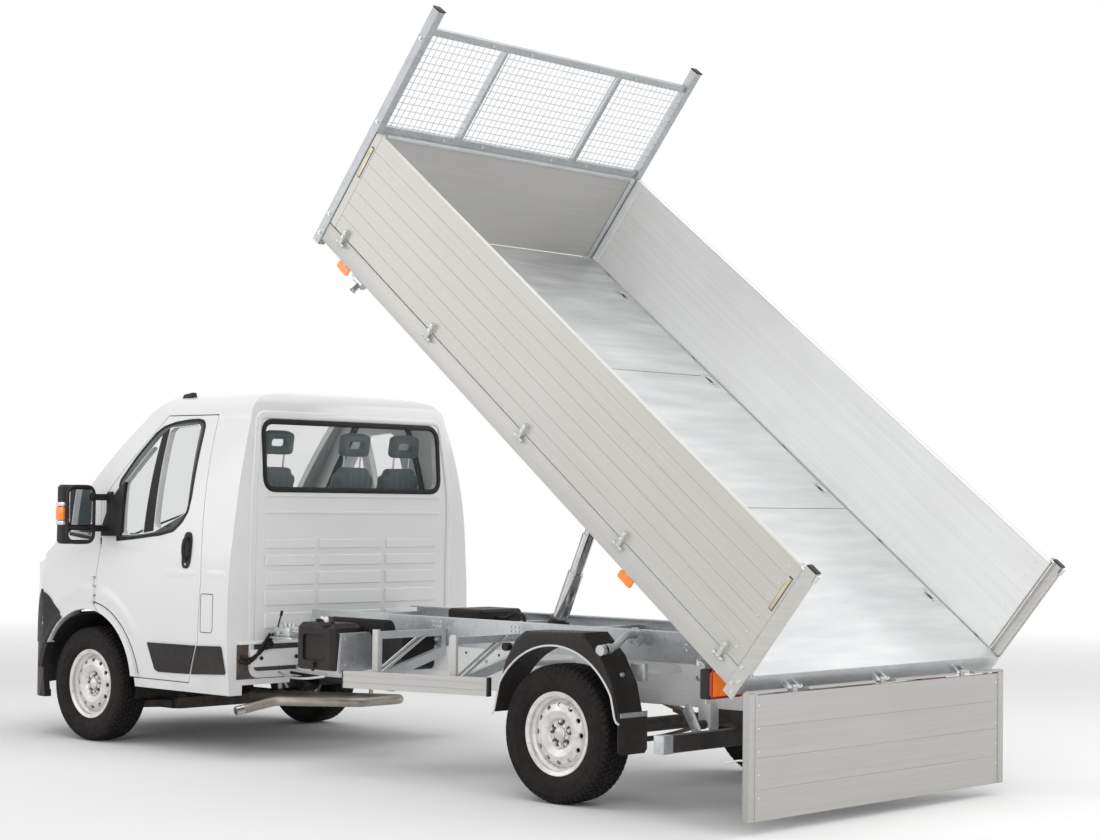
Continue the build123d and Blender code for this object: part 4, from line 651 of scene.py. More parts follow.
def tyre_profile():
    """Carcass outline of (across, radius), from the outer bead over the crown to the inner bead."""
    wall = [
        (0.079, 0.2045), (0.081, 0.2195), (0.0865, 0.2225), (0.091, 0.2285), (0.0935, 0.236),
        (0.0965, 0.2375), (0.0985, 0.2405), (0.1005, 0.247), (0.1035, 0.258), (0.1058, 0.271),
        (0.1066, 0.2775), (0.1082, 0.279), (0.1086, 0.284), (0.1074, 0.286), (0.1078, 0.296),
        (0.1074, 0.308), (0.1064, 0.318), (0.1075, 0.3195), (0.1077, 0.3225), (0.1055, 0.326),
        (0.1035, 0.334), (0.1005, 0.343), (0.0945, 0.3495), (0.085, 0.3525), (0.050, 0.3562),
        (0.0, 0.3570),
    ]
    mirrored = [(-across, radius) for across, radius in reversed(wall[:-1])]
    inner = [(-0.070, 0.2045), (-0.082, 0.29), (-0.06, 0.342), (0.06, 0.342), (0.082, 0.29), (0.070, 0.2045)]
    return wall + mirrored + inner


def build_tyre(corner, side):
    """Carcass, tread blocks and shoulder ribs of one tyre."""
    low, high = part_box(f"tyre_{corner}")
    centre = (low + high) / 2
    kit = Kit()
    kit.lathe(tyre_profile(), centre, (0, side, 0), segments=132)
    blocks = bmesh.new()
    for step in range(TREAD_PITCHES):
        turn = TAU * step / TREAD_PITCHES
        for index, row in enumerate(TREAD_ROWS):
            offset = TAU / TREAD_PITCHES * ROW_STAGGER * index
            tread_block(blocks, centre, side, row, turn + offset)
            if index:
                tread_block(blocks, centre, -side, row, turn + offset)
    for step in range(TREAD_PITCHES):
        turn = TAU * (step + 0.5) / TREAD_PITCHES
        for way in (side, -side):
            shoulder_rib(blocks, centre, way, turn)
    bmesh.ops.recalc_face_normals(blocks, faces=blocks.faces[:])
    kit.take(blocks)
    kit.done(
        f"tyre_tread_{corner}", MATERIALS["tyre_rubber"], f"wheel_{corner}", 30, replaces=(f"tyre_{corner}",)
    )


def shoulder_rib(mesh, centre, side, turn):
    """Short rib where the wall meets the shoulder."""
    half = TAU / TREAD_PITCHES * RIB_SHARE
    ends = [
        [mesh.verts.new(wheel_point(centre, side, *spot, turn + way * half)) for spot in RIB_OUTLINE]
        for way in (-1, 1)
    ]
    for k in range(len(RIB_OUTLINE)):
        nxt = (k + 1) % len(RIB_OUTLINE)
        mesh.faces.new((ends[0][k], ends[0][nxt], ends[1][nxt], ends[1][k]))
    mesh.faces.new(ends[0][::-1])
    mesh.faces.new(ends[1])


CORNERS = {"front_left": 1, "front_right": -1, "rear_left": 1, "rear_right": -1}
for corner, side in CORNERS.items():
    build_tyre(corner, side)


class Skin:
    """Outer surface of some CAD nodes, looked up by casting rays on to it."""

    def __init__(self, *names):
        verts, faces = [], []
        for name in names:
            mesh = NODES[name].data
            start = len(verts)
            verts.extend(v.co.copy() for v in mesh.vertices)
            faces.extend([start + v for v in p.vertices] for p in mesh.polygons)
        self.tree = BVHTree.FromPolygons(verts, faces)

    def hit(self, start, along, reach):
        place, normal, _, _ = self.tree.ray_cast(start, Vector(along), reach)
        return (place, normal) if place else (None, None)

    def side(self, x, z, way):
        """Point and normal where a ray from the left (way 1) or right (way -1) meets the surface."""
        return self.hit(Vector((x, way * 2.0, z)), (0, -way, 0), 1.9)

    def back(self, y, z):
        return self.hit(at(-2.0, y, z), (1, 0, 0), 1.2)

    def front(self, y, z):
        return self.hit(at(2.5, y, z), (-1, 0, 0), 2.6)


SHELL = Skin("cab_shell")
CORNER_STEPS = 6
# how deep the edges of a trim, a band and a swelling go under the surface, and their steps
TRIM_SINK = 0.004
BAND_SINK = 0.003
BAND_STEPS = 96
SWELLING_SINK = 0.002
SWELLING_STEPS = 11
STEADY_REACH = 3
OVAL_POWER = 3.0


def rounded(points, radius, closed=True):
    """Polyline with its corners rounded by arcs of about the given radius."""
    points = [Vector(p) for p in points]
    count = len(points)
    out = []
    for k, here in enumerate(points):
        if not closed and k in (0, count - 1):
            out.append(here)
            continue
        before = points[k - 1]
        after = points[(k + 1) % count]
        reach = min(radius, (before - here).length * 0.45, (after - here).length * 0.45)
        start = here + (before - here).normalized() * reach
        end = here + (after - here).normalized() * reach
        for step in range(CORNER_STEPS + 1):
            t = step / CORNER_STEPS
            out.append(start * (1 - t) ** 2 + here * (2 * t * (1 - t)) + end * t ** 2)
    return out


def spaced(points, pitch, closed):
    """The polyline's points with long runs divided so that a trim follows a curved surface."""
    points = [Vector(p) for p in points]
    out = []
    pairs = zip(points, points[1:] + points[:1]) if closed else zip(points, points[1:])
    for first, second in pairs:
        pieces = max(1, int((second - first).length / pitch))
        out.extend(first.lerp(second, step / pieces) for step in range(pieces))
    if not closed:
        out.append(points[-1])
    return out


def trim_rows(points, look, width, rise, closed):
    """Cross sections of a flat trim that lies on a surface along flat (a, b) points."""
    hits = [look(p[0], p[1]) for p in points]
    rows = []
    count = len(points)
    for k, (place, normal) in enumerate(hits):
        if place is None:
            continue
        before = hits[k - 1][0] if (k or closed) else place
        after = hits[(k + 1) % count][0] if (k < count - 1 or closed) else place
        if before is None or after is None or (after - before).length < 1e-6:
            continue
        along = (after - before).normalized()
        across = normal.cross(along).normalized()
        half = width / 2
        rows.append([
            place - across * half - normal * TRIM_SINK, place - across * half + normal * rise * 0.35,
            place - across * half * 0.6 + normal * rise, place + across * half * 0.6 + normal * rise,
            place + across * half + normal * rise * 0.35, place + across * half - normal * TRIM_SINK,
        ])
    return rows


def plate_on(kit, outline, look, rise, sink=0.003, pitch=0.06, flat=((1, 0, 0), (0, 0, 1))):
    """Closed plate of a flat outline, bent on to a surface and standing rise proud of it."""
    made = bmesh.new()
    made.faces.new([made.verts.new((a, b, 0)) for a, b in outline])
    low = Vector((min(p[0] for p in outline), min(p[1] for p in outline), 0))
    high = Vector((max(p[0] for p in outline), max(p[1] for p in outline), 0))
    for axis, normal in ((0, Vector((1, 0, 0))), (1, Vector((0, 1, 0)))):
        cuts = int((high[axis] - low[axis]) / pitch)
        for cut in range(1, cuts + 1):
            place = low.copy()
            place[axis] = low[axis] + (high[axis] - low[axis]) * cut / (cuts + 1)
            bmesh.ops.bisect_plane(
                made, geom=made.verts[:] + made.edges[:] + made.faces[:], plane_co=place, plane_no=normal
            )
    top = made.faces[:]
    hits = {vert: look(vert.co.x, vert.co.y) for vert in made.verts}
    landed = [(vert.co.copy(), hit) for vert, hit in hits.items() if hit[0] is not None]
    for vert, (place, _) in hits.items():
        if place is None:
            spot, (near, normal) = min(landed, key=lambda known: (known[0] - vert.co).length)
            shift = vert.co - spot
            hits[vert] = (near + Vector(flat[0]) * shift.x + Vector(flat[1]) * shift.y, normal)
    rim = [e for e in made.edges if len(e.link_faces) == 1]
    base = {vert: made.verts.new(place - normal * sink) for vert, (place, normal) in hits.items()}
    for face in top:
        made.faces.new([base[vert] for vert in reversed(face.verts)])
    for edge in rim:
        first, second = edge.verts
        made.faces.new((first, second, base[second], base[first]))
    for vert, (place, normal) in hits.items():
        vert.co = place + normal * rise
    bmesh.ops.recalc_face_normals(made, faces=made.faces[:])
    return kit.take(made)


def on_side(skin, way):
    """Look-up of a skin from one side, by station and height."""
    return lambda dx, z: skin.side(station(dx), z, way)


# Cab side trim. Outlines in the side view, columns: station, height.
WAYS = (("left", 1), ("right", -1))
DIVIDER = [(-0.602, 2.0), (-0.549, 1.963), (-0.537, 1.345), (-0.629, 1.357)]
SAIL = [(-0.285, 1.66), (-0.235, 1.615), (-0.175, 1.545), (-0.112, 1.36), (-0.118, 1.315), (-0.315, 1.318)]
DOOR_CLADDING = [(-0.632, 0.664), (-1.100, 0.668), (-1.033, 0.492), (-0.735, 0.487), (-0.70, 0.50)]
REAR_CLADDING = [
    (-1.122, 0.668), (-1.342, 0.676), (-1.352, 0.66), (-1.380, 0.52), (-1.372, 0.508), (-1.058, 0.492),
]
HANDLE_CENTRE = (-0.985, 1.245)
HANDLE_SIZE = (0.044, 0.112)
HANDLE_POINTS = 28
# grip, columns: distance from the door, height over the handle's middle
HANDLE_GRIP = (
    (0.004, 0.078), (0.024, 0.062), (0.033, 0.03), (0.034, -0.01), (0.028, -0.045), (0.006, -0.062),
)
LOCK_DROP = -0.085
FUEL_FLAP = [(-1.148, 0.985), (-1.262, 0.985), (-1.262, 0.770), (-1.250, 0.752), (-1.148, 0.752)]
CREASE_HEIGHT = 1.105


def oval(centre, half_width, half_height):
    """Superellipse outline round centre."""
    out = []
    for step in range(HANDLE_POINTS):
        angle = TAU * step / HANDLE_POINTS
        c, s = math.cos(angle), math.sin(angle)
        out.append((
            centre[0] + half_width * math.copysign(abs(c) ** (2 / OVAL_POWER), c),
            centre[1] + half_height * math.copysign(abs(s) ** (2 / OVAL_POWER), s),
        ))
    return out


def flat_loop(outline, corner, pitch=0.05):
    """Outline with rounded corners and points close enough to follow a surface."""
    return [tuple(p) for p in spaced(rounded(outline, corner), pitch, True)]


def upright(y0, y1, z0, z1, corner):
    """Rounded oblong of (width, height) points."""
    return rounded([(y0, z0), (y1, z0), (y1, z1), (y0, z1)], corner)


# mirror: heights of its arms, of its two panes and of the lamps' lower edges
MIRROR_ARMS = (1.364, 1.563)
MIRROR_PANES = ((1.386, 1.61), (1.292, 1.354))
MIRROR_LAMPS = (1.502, 1.385)


def cab_side(name, way):
    """Window divider, cladding, handle, lock, fuel flap's joint and mirror of a side."""
    door = on_side(Skin(f"door_{name}", f"door_glass_{name}"), way)
    shell = on_side(SHELL, way)
    body = f"door_{name}"
    kit = Kit()
    plate_on(kit, DIVIDER, door, 0.0045)
    kit.done(f"window_divider_{name}", RUBBER, body)

    plate_on(kit, DOOR_CLADDING, door, 0.009)
    kit.done(f"cladding_door_{name}", BLACK, body, 40)
    plate_on(kit, REAR_CLADDING, shell, 0.009)
    kit.done(f"cladding_rear_{name}", BLACK, "chassis", 40)

    plate_on(kit, oval(HANDLE_CENTRE, *HANDLE_SIZE), door, 0.006, pitch=0.02)
    middle, _ = door(*HANDLE_CENTRE)
    out = Vector((0, way, 0))
    grip = [middle + out * reach + Vector((0, 0, rise)) for reach, rise in HANDLE_GRIP]
    kit.pipe(grip, 0.0115, 12)
    lock = middle + Vector((0, 0, LOCK_DROP))
    kit.rod(lock - out * 0.002, lock + out * 0.014, 0.012)
    kit.done(f"door_handle_{name}", BLACK, body, 40)
    kit.rod(lock, lock + out * 0.0165, 0.0065)
    kit.done(f"door_lock_{name}", ZINC, body)
    if way > 0:
        kit.ribbon(trim_rows(flat_loop(FUEL_FLAP, 0.012), shell, 0.0045, 0.0012, True), True)
        kit.done("fuel_flap_joint", RUBBER, "chassis")

    mirror(kit, name, way, door)


def mirror(kit, name, way, door):
    """Sail panel, arm sleeves, housing rim, two glasses and the side repeater with its lamps."""
    body = f"door_{name}"
    plate_on(kit, SAIL, door, 0.02, pitch=0.04)
    for z in MIRROR_ARMS:
        kit.rod(at(-0.13, 0.94, z, way), at(-0.13, 1.118, z, way), 0.021, bevel=0.003)
        kit.box(at(-0.158, 1.088, z - 0.027, way), at(-0.1, 1.125, z + 0.027, way), 0.008)
    kit.box(at(-0.172, 0.925, 1.325, way), at(-0.118, 0.985, 1.60, way), 0.016)
    back_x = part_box(f"mirror_{name}")[0].x + 0.002
    rim = upright(1.095, 1.298, 1.275, 1.63, 0.06)
    kit.pipe([(back_x, way * p[0], p[1]) for p in rim], 0.011, 10, closed=True)
    kit.box((back_x - 0.006, way * 1.1, 1.362), (back_x + 0.01, way * 1.294, 1.378), 0.004)
    kit.done(f"mirror_trim_{name}", BLACK, body, 40)
    for z0, z1 in MIRROR_PANES:
        pane = [(-way * p[0], p[1]) for p in upright(1.113, 1.281, z0, z1, 0.03)]
        kit.prism(pane, (back_x + 0.004, 0, 0), (-1, 0, 0), 0.006)
    kit.done(f"mirror_glass_{name}", MIRROR_GLASS, body)
    kit.box(at(-0.115, 1.285, 1.415, way), at(-0.035, 1.309, 1.50, way), 0.008)
    kit.done(f"side_repeater_{name}", AMBER_LENS, body)
    for low in MIRROR_LAMPS:
        kit.box(at(-0.118, 1.284, low, way), at(-0.034, 1.3075, low + 0.028, way), 0.006)
    kit.done(f"mirror_lamp_{name}", CLEAR_LENS, body)


for name, way in WAYS:
    cab_side(name, way)

# Cab back: window rubber and the raised border of the pressed wall
REAR_WINDOW = [(-0.746, 1.625), (0.746, 1.625), (0.746, 2.043), (-0.746, 2.043)]
BACK_BORDER = [(-0.835, 0.50), (0.835, 0.50), (0.835, 1.60), (0.775, 2.085), (-0.775, 2.085), (-0.835, 1.60)]


def cab_back():
    """Rubber of the rear window and the raised border of the pressed wall."""
    kit = Kit()
    kit.ribbon(trim_rows(flat_loop(REAR_WINDOW, 0.085, 0.06), SHELL.back, 0.034, 0.006, True), True)
    kit.done("rear_window_rubber", RUBBER, "chassis", 60)
    kit.ribbon(trim_rows(flat_loop(BACK_BORDER, 0.06, 0.06), SHELL.back, 0.05, 0.007, True), True)
    kit.done("back_wall_border", WHITE, "chassis", 80)


cab_back()

# The front isn't in the photo, so it is of its type. Plate, columns: width, height.
FRONT_PLATE = [(-0.26, 0.525), (0.26, 0.525), (0.26, 0.605), (-0.26, 0.605)]
# columns: width, height, radius
HEADLAMP_BOWLS = ((0.66, 0.83, 0.055), (0.80, 0.87, 0.05))
# columns: pivot's width, tip's width
WIPERS = ((0.62, 0.05), (-0.05, -0.62))
# fog lamp's profile: along its axis, radius
FOG_LAMP = ((-0.01, 0.05), (0.006, 0.05), (0.006, 0.038), (0.0, 0.034), (0.0, 0.0004), (-0.01, 0.0004))


def cab_front():
    """Blank plate, lamp bowls, fog lamps, wipers and aerial base."""
    kit = Kit()
    front = Skin("front_bumper", "cab_shell", "bonnet", "grille", "headlamps").front
    plate_on(kit, FRONT_PLATE, front, 0.008, pitch=0.1, flat=((0, 1, 0), (0, 0, 1)))
    kit.done("front_plate_blank", PLATE_WHITE, "chassis")
    for way in (1, -1):
        for y, z, radius in HEADLAMP_BOWLS:
            place, normal = front(way * y, z)
            profile = [
                (-0.006, radius), (0.004, radius), (0.003, radius * 0.86), (-0.004, radius * 0.3),
                (-0.004, 0.0004), (-0.008, 0.0004), (-0.008, radius * 0.5),
            ]
            kit.lathe(profile, place, normal, 40)
    kit.done("headlamp_bowls", CHROME, "chassis")
    for way in (1, -1):
        place, normal = front(way * 0.72, 0.47)
        kit.lathe(FOG_LAMP, place, normal, 40)
    kit.done("fog_lamps", CLEAR_LENS, "chassis")
    glass = Skin("windscreen")
    for pivot_y, tip_y in WIPERS:
        line = []
        for step in range(9):
            t = step / 8
            y = pivot_y + (tip_y - pivot_y) * t
            place, normal = glass.hit(at(0.42 - 0.18 * t, y, 2.6), (0, 0, -1), 2.0)
            if place:
                line.append(place + normal * 0.014)
        if len(line) > 2:
            kit.pipe(line, 0.007, 8)
            kit.rod(line[0] - Vector((0, 0, 0.045)), line[0] + Vector((0, 0, 0.01)), 0.014, bevel=0.003)
    kit.done("wipers", BLACK, "chassis")
    place, _ = SHELL.hit(at(-0.60, 0.70, 3.0), (0, 0, -1), 2.0)
    outline = [(-0.06, -0.01), (0.06, -0.01), (0.045, 0.02), (-0.045, 0.032)]
    kit.prism(outline, place + Vector((0, 0.018, 0)), (0, -1, 0), 0.036, bevel=0.006)
    kit.done("aerial_base", BLACK, "chassis")


cab_front()

# Bed trim, in the bed's frame
BOARD_OUTER = 1.144
BOARD_INNER = 1.116
RIVET_ROWS = (0.06, 0.16, 0.26, 0.36, 0.46, 0.56)
BOARD_HINGES = (0.190, 1.010, 1.890, 2.780, 3.680)
RINGS = (0.50, 1.46, 2.51, 3.40)
RING_LOOP = ((-0.034, 1.016, 0.006), (-0.034, 1.046, 0.007), (0.034, 1.046, 0.007), (0.034, 1.016, 0.006))
POST_TOP = 1.390

# Bolt heads, columns: across flats, height, washer's radius
BOARD_BOLT = (0.010, 0.005, 0.009)
POST_BOLT = (0.016, 0.007, 0.012)
MESH_BOLT = (0.012, 0.005, 0.010)
GUSSET_BOLT = (0.015, 0.007, 0.012)
STRUT_BOLT = (0.014, 0.007, 0.011)
SUBFRAME_BOLT = (0.012, 0.005, 0.009)
RAIL_BOLT = (0.018, 0.008, 0.014)
FLAP_BOLT = (0.011, 0.005, 0.008)
TUBE_BOLT = (0.014, 0.007, 0.010)
GUARD_BOLT = (0.018, 0.010, 0.013)
SHACKLE_BOLT = (0.022, 0.012, 0.017)
# Bolts of the posts, and the hook on the rear post's head, columns: along, above
POST_BOLTS = (
    (0.022, -0.118), (0.022, -0.052), (0.050, -0.085), (0.050, 0.012), (3.873, 1.20), (3.873, 0.66),
    (3.873, 0.04), (3.873, -0.09),
)
POST_HOOK = ((0.062, 0.60), (0.084, 0.604), (0.094, 0.618), (0.084, 0.632), (0.064, 0.634))
# Latches at the boards' ends, columns: half width, bottom, top, from and to off the face, bevel
LATCH_SLOTS = ((0.013, 0.33, 0.53, -0.004, 0.0026, 0.001),)
LATCH_LEVERS = ((0.0095, 0.335, 0.49, 0.0, 0.0065, 0.002), (0.011, 0.49, 0.525, 0.0, 0.009, 0.003))
# Rolled top edge, columns: height, distance from the board's middle
TOP_EDGE = (
    (0.5995, -0.0148), (0.6045, -0.0148), (0.6085, -0.010), (0.6095, 0.0), (0.6085, 0.010),
    (0.6045, 0.0148), (0.5995, 0.0148),
)


def rivet(kit, place, out, radius=0.0055):
    """Domed rivet head on a face."""
    dome = [
        (-0.001, radius), (0.0006, radius), (0.002, radius * 0.75), (0.0028, radius * 0.35),
        (0.003, 0.0002), (-0.001, 0.0002),
    ]
    kit.lathe(dome, place, out, 14)


def board_trim(name, way):
    """Rivets, hinge bolts, latches, top edge and rail face of a side board."""
    body = f"side_board_{name}"
    kit = Kit(BED)
    for along in (BOARD_SPAN[0] + 0.068, BOARD_SPAN[1] - 0.068):
        for above in RIVET_ROWS:
            rivet(kit, (along, way * BOARD_OUTER, above), (0, way, 0))
            rivet(kit, (along, way * BOARD_INNER, above), (0, -way, 0))
    for along in BOARD_HINGES:
        for above in (0.012, 0.040):
            kit.bolt((along, way * 1.168, above), (0, way, 0), *BOARD_BOLT)
    kit.done(f"board_rivets_{name}", ZINC, body, 40)
    for piece, material, parts in (("slots", RUBBER, LATCH_SLOTS), ("levers", BRASS, LATCH_LEVERS)):
        for along in (BOARD_SPAN[0] + 0.026, BOARD_SPAN[1] - 0.026):
            for half, bottom, top, sink, rise, bevel in parts:
                inner, outer = way * (BOARD_OUTER + sink), way * (BOARD_OUTER + rise)
                kit.box((along - half, inner, bottom), (along + half, outer, top), bevel)
        kit.done(f"latch_{piece}_{name}", material, body)
    middle = (BOARD_OUTER + BOARD_INNER) / 2
    kit.ribbon([[(along, way * (middle + off), above) for above, off in TOP_EDGE]
                for along in (BOARD_SPAN[0] + 0.001, BOARD_SPAN[1] - 0.001)])
    kit.done(f"board_top_edge_{name}", BOARD_METAL, body)
    kit.box((0.07, way * 1.1415, -0.114), (3.84, way * 1.1445, -0.004), 0.001)
    kit.done(f"bed_rail_face_{name}", BOARD_METAL, "bed")


def bed_trim():
    """Fixings, post caps, lashing rings, bulkhead straps, floor seams and valve."""
    kit = Kit(BED)
    for way in (1, -1):
        for along, above in POST_BOLTS:
            kit.bolt((along, way * 1.150, above), (0, way, 0), *POST_BOLT)
        kit.box((-0.012, way * 1.118, 0.585), (0.0, way * 1.146, 0.63), 0.003)
        kit.pipe([(along, way * 1.146, above) for along, above in POST_HOOK], 0.005, 10)
    for y in (-0.62, -0.3, 0.3, 0.62):
        for above in (0.626, 1.258):
            kit.bolt((3.857, y, above), (-1, 0, 0), *MESH_BOLT)
    kit.done("bed_fixings", ZINC, "bed", 40)

    for way in (1, -1):
        kit.box((0.0035, way * 1.1075, 0.629), (0.068, way * 1.151, 0.637), 0.002)
        kit.box((3.841, way * 1.0985, POST_TOP - 0.004), (3.904, way * 1.1515, POST_TOP + 0.005), 0.002)
    kit.done("post_caps", BLACK, "bed")

    for way in (1, -1):
        for along in RINGS:
            kit.box((along - 0.068, way * 0.990, -0.002), (along + 0.068, way * 1.072, 0.0022), 0.001)
    kit.done("lashing_plates", ZINC, "bed")
    # painted shade: dark patches stand for the wells the rings sit in
    for way in (1, -1):
        for along in RINGS:
            kit.box((along - 0.020, way * 1.020, 0.0015), (along + 0.020, way * 1.042, 0.0028))
    kit.done("lashing_well_shade", DARK_METAL_AND_SHADE, "bed")
    for way in (1, -1):
        for along in RINGS:
            loop = [(along + shift, way * y, above) for shift, y, above in RING_LOOP]
            kit.pipe(rounded(loop, 0.012, closed=False), 0.0042, 10)
    kit.done("lashing_rings", ZINC, "bed")

    # galvanised strap along each side of the bulkhead, and the sheet's overlap line on the floor
    for way in (1, -1):
        kit.box((3.836, way * 1.062, 0.006), (3.8445, way * 1.0985, 0.60), 0.002)
    kit.box((3.834, -1.06, 0.585), (3.8445, 1.06, 0.606), 0.002)
    kit.done("bulkhead_straps", GALVANISED, "bed")
    for along in (1.28, 2.56):
        kit.box((along - 0.0012, -1.09, -0.001), (along + 0.0012, 1.09, 0.0012))
    kit.done("floor_seams", DARK_METAL_AND_SHADE, "bed")
    # valve block that hangs under the front left corner
    kit.rods(
        ((3.555, 0.99, -0.115), (3.555, 0.99, -0.19), 0.020, 0.003),
        ((3.52, 0.99, -0.20), (3.60, 0.99, -0.20), 0.026, 0.004),
        ((3.555, 0.99, -0.205), (3.535, 1.04, -0.25), 0.017, 0.003),
        ((3.61, 0.99, -0.20), (3.63, 0.99, -0.20), 0.014, 0.003),
    )
    kit.done("bed_valve", ZINC, "bed", 40)


for name, way in WAYS:
    board_trim(name, way)
bed_trim()


# Head profile of the tailgate, in lengths that keep clear of the hinges; columns: depth, height
GATE_HEAD = (
    (-0.002, -0.003), (-0.002, 0.005), (0.006, 0.010), (0.022, 0.010), (0.030, 0.005), (0.030, -0.003),
)
GATE_HINGES = (-0.760, 0, 0.760)
HOOK_ROUTES = (
    (0.005, ((0, 0, 0.012), (0.06, 0, 0.006), (0.13, 0, -0.012))),
    (0.0045, ((0.004, 0, 0.01), (0.018, 0, -0.05), (0.004, 0, -0.10))),
)


def tailgate_trim():
    """Edge and head profiles, rivets, latch hook and hinge nuts."""
    low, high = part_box("tailgate")
    rear = low.x
    front = low.x + 0.028
    top = JOINTS["tailgate_swing"]["pos_m"][2] - 0.012
    kit = Kit()
    for way in (1, -1):
        edge = way * high.y
        outside = edge + way * 0.0015
        foot = low.z + 0.001
        kit.boxes(
            ((rear - 0.002, edge - way * 0.052, foot), (front + 0.010, outside, top + 0.001), 0.002),
            ((rear - 0.005, edge - way * 0.056, foot), (rear + 0.004, edge - way * 0.044, top), 0.002),
        )
    for y0, y1 in ((low.y + 0.002, -0.85), (-0.67, -0.09), (0.09, 0.67), (0.85, high.y - 0.002)):
        kit.ribbon([[(rear + a, y, top + b) for a, b in GATE_HEAD] for y in (y0, y1)])
    kit.done("tailgate_profiles", GATE_METAL, "tailgate")
    for way in (1, -1):
        for share in (0.1, 0.28, 0.46, 0.64, 0.82):
            height = top + (low.z - top) * share
            rivet(kit, (rear, way * (high.y - 0.075), height), (-1, 0, 0), 0.005)
            rivet(kit, (front, way * (high.y - 0.075), height), (1, 0, 0), 0.005)
    kit.done("tailgate_rivets", ZINC, "tailgate", 40)
    # latch hook that sticks out of the hanging gate's left edge, towards the truck
    place = Vector((front, high.y - 0.03, 0.345))
    for radius, route in HOOK_ROUTES:
        kit.pipe([place + Vector(p) for p in route], radius, 10)
    kit.done("tailgate_hook", ZINC, "tailgate")
    x, _, z = JOINTS["tailgate_swing"]["pos_m"]
    for y in GATE_HINGES:
        for start, end in ((-0.060, -0.046), (0.046, 0.060)):
            kit.rod((x, y + start, z), (x, y + end, z), 0.011, sides=6, bevel=0.0015)
    kit.done("tailgate_hinge_nuts", ZINC, "bed", 40)


tailgate_trim()


def between(outer, inner, look, rise):
    """Rows of a flat band between two outlines round the same middle, laid on a surface."""
    centre = sum((Vector(p) for p in inner), Vector((0, 0))) / len(inner)

    def reach(outline, way):
        best = 0.0
        for first, second in zip(outline, list(outline[1:]) + [outline[0]]):
            a, b = Vector(first) - centre, Vector(second) - centre
            side = b - a
            cross = way.x * side.y - way.y * side.x
            if abs(cross) < 1e-9:
                continue
            along = (a.x * side.y - a.y * side.x) / cross
            share = (a.x * way.y - a.y * way.x) / cross
            if along > 0 and -1e-6 <= share <= 1 + 1e-6:
                best = max(best, along)
        return centre + way * best

    rows = []
    for step in range(BAND_STEPS):
        angle = TAU * step / BAND_STEPS
        way = Vector((math.cos(angle), math.sin(angle)))
        far, near = look(*reach(outer, way)), look(*(reach(inner, way) + way * 0.006))
        if far[0] is None or near[0] is None:
            continue
        rows.append([
            near[0] - near[1] * BAND_SINK - (far[0] - near[0]).normalized() * 0.006, near[0] + near[1] * rise,
            far[0] + far[1] * rise, far[0] - far[1] * BAND_SINK,
        ])
    return rows


# Side window's opening, its clear part and the door's edge in the side view, columns: station, height
GLAZING = [
    (-0.21, 1.665), (-0.34, 1.833), (-0.476, 1.977), (-0.539, 2.018), (-0.649, 2.045), (-0.777, 2.058),
    (-0.86, 2.062), (-0.925, 2.052), (-0.952, 2.02), (-0.958, 1.95), (-0.968, 1.575), (-0.955, 1.48),
    (-0.905, 1.41), (-0.83, 1.355), (-0.70, 1.328), (-0.63, 1.322), (-0.414, 1.298), (-0.262, 1.285),
]
GLAZED = [
    (-0.904, 2.025), (-0.604, 2.003), (-0.545, 1.958), (-0.262, 1.655), (-0.300, 1.325), (-0.532, 1.340),
    (-0.634, 1.353), (-0.938, 1.478),
]
DOOR_EDGE = [
    (-1.020, 0.440), (-1.120, 0.700), (-1.135, 1.060), (-1.050, 2.080), (-0.560, 2.080), (-0.250, 1.760),
    (-0.055, 1.530), (-0.110, 1.273), (-0.062, 0.894), (-0.150, 0.810), (-0.347, 0.700), (-0.440, 0.560),
    (-0.465, 0.440),
]
BUMPER_CORNER = [
    (0.427, 0.605), (0.3646, 0.690), (0.319, 0.737), (0.262, 0.779), (0.285, 0.800), (0.340, 0.860),
    (0.430, 0.920), (0.520, 0.955), (0.560, 0.900), (0.585, 0.830), (0.600, 0.740), (0.605, 0.605),
]
WHEEL_HEIGHT = TYRE_RADIUS
BAND_WIDTH = 0.024
JOINT_ARCH = 0.532
JOINT_SHIFT = 0.0055
JOINT_WIDTH = 0.010
JOINT_RISE = 0.0012
FLARE_RADIUS = 0.605
FLARE_WIDTH = 0.125
FLARE_RISE = 0.009
FOLD_WIDTH = 0.075
FOLD_RISE = 0.005
WING_EDGE = 0.505
LINER_RADIUS = 0.452
LINER_SHEET = 0.004
LINER_HOLE = 0.24
LINER_SPAN = (0.57, 0.968)


def grown(outline, distance):
    """Outline pushed outwards by a distance, corner by corner."""
    count = len(outline)
    area = sum(outline[k - 1][0] * outline[k][1] - outline[k][0] * outline[k - 1][1] for k in range(count))
    sign = 1 if area > 0 else -1
    out = []
    for k in range(count):
        before, here, after = (Vector(outline[j % count]) for j in (k - 1, k, k + 1))
        first = (here - before).normalized()
        second = (after - here).normalized()
        push = Vector((first.y + second.y, -first.x - second.x)) * sign
        push = push.normalized() * distance / max(0.4, math.sqrt((1 + first.dot(second)) / 2))
        out.append((here.x + push.x, here.y + push.y))
    return out


def soft_rows(points, look, width, rise):
    """Cross sections of a swelling with no edge, along flat (a, b) points on a surface."""
    rows = []
    for k, spot in enumerate(points):
        before, after = points[max(0, k - 1)], points[min(len(points) - 1, k + 1)]
        along = Vector((after[0] - before[0], after[1] - before[1])).normalized()
        across = Vector((-along.y, along.x))
        fade = min(1.0, min(k, len(points) - 1 - k) / 3)
        top, low = [], []
        for step in range(SWELLING_STEPS):
            share = 2 * step / (SWELLING_STEPS - 1) - 1
            shift = share * width / 2
            place, normal = look(spot[0] + across.x * shift, spot[1] + across.y * shift)
            if place is None:
                break
            top.append(place + normal * (rise * math.cos(share * math.pi / 2) ** 2 * fade - 0.0004))
            low.append(place - normal * SWELLING_SINK)
        if len(top) == SWELLING_STEPS:
            rows.append(top + low[::-1])
    return rows


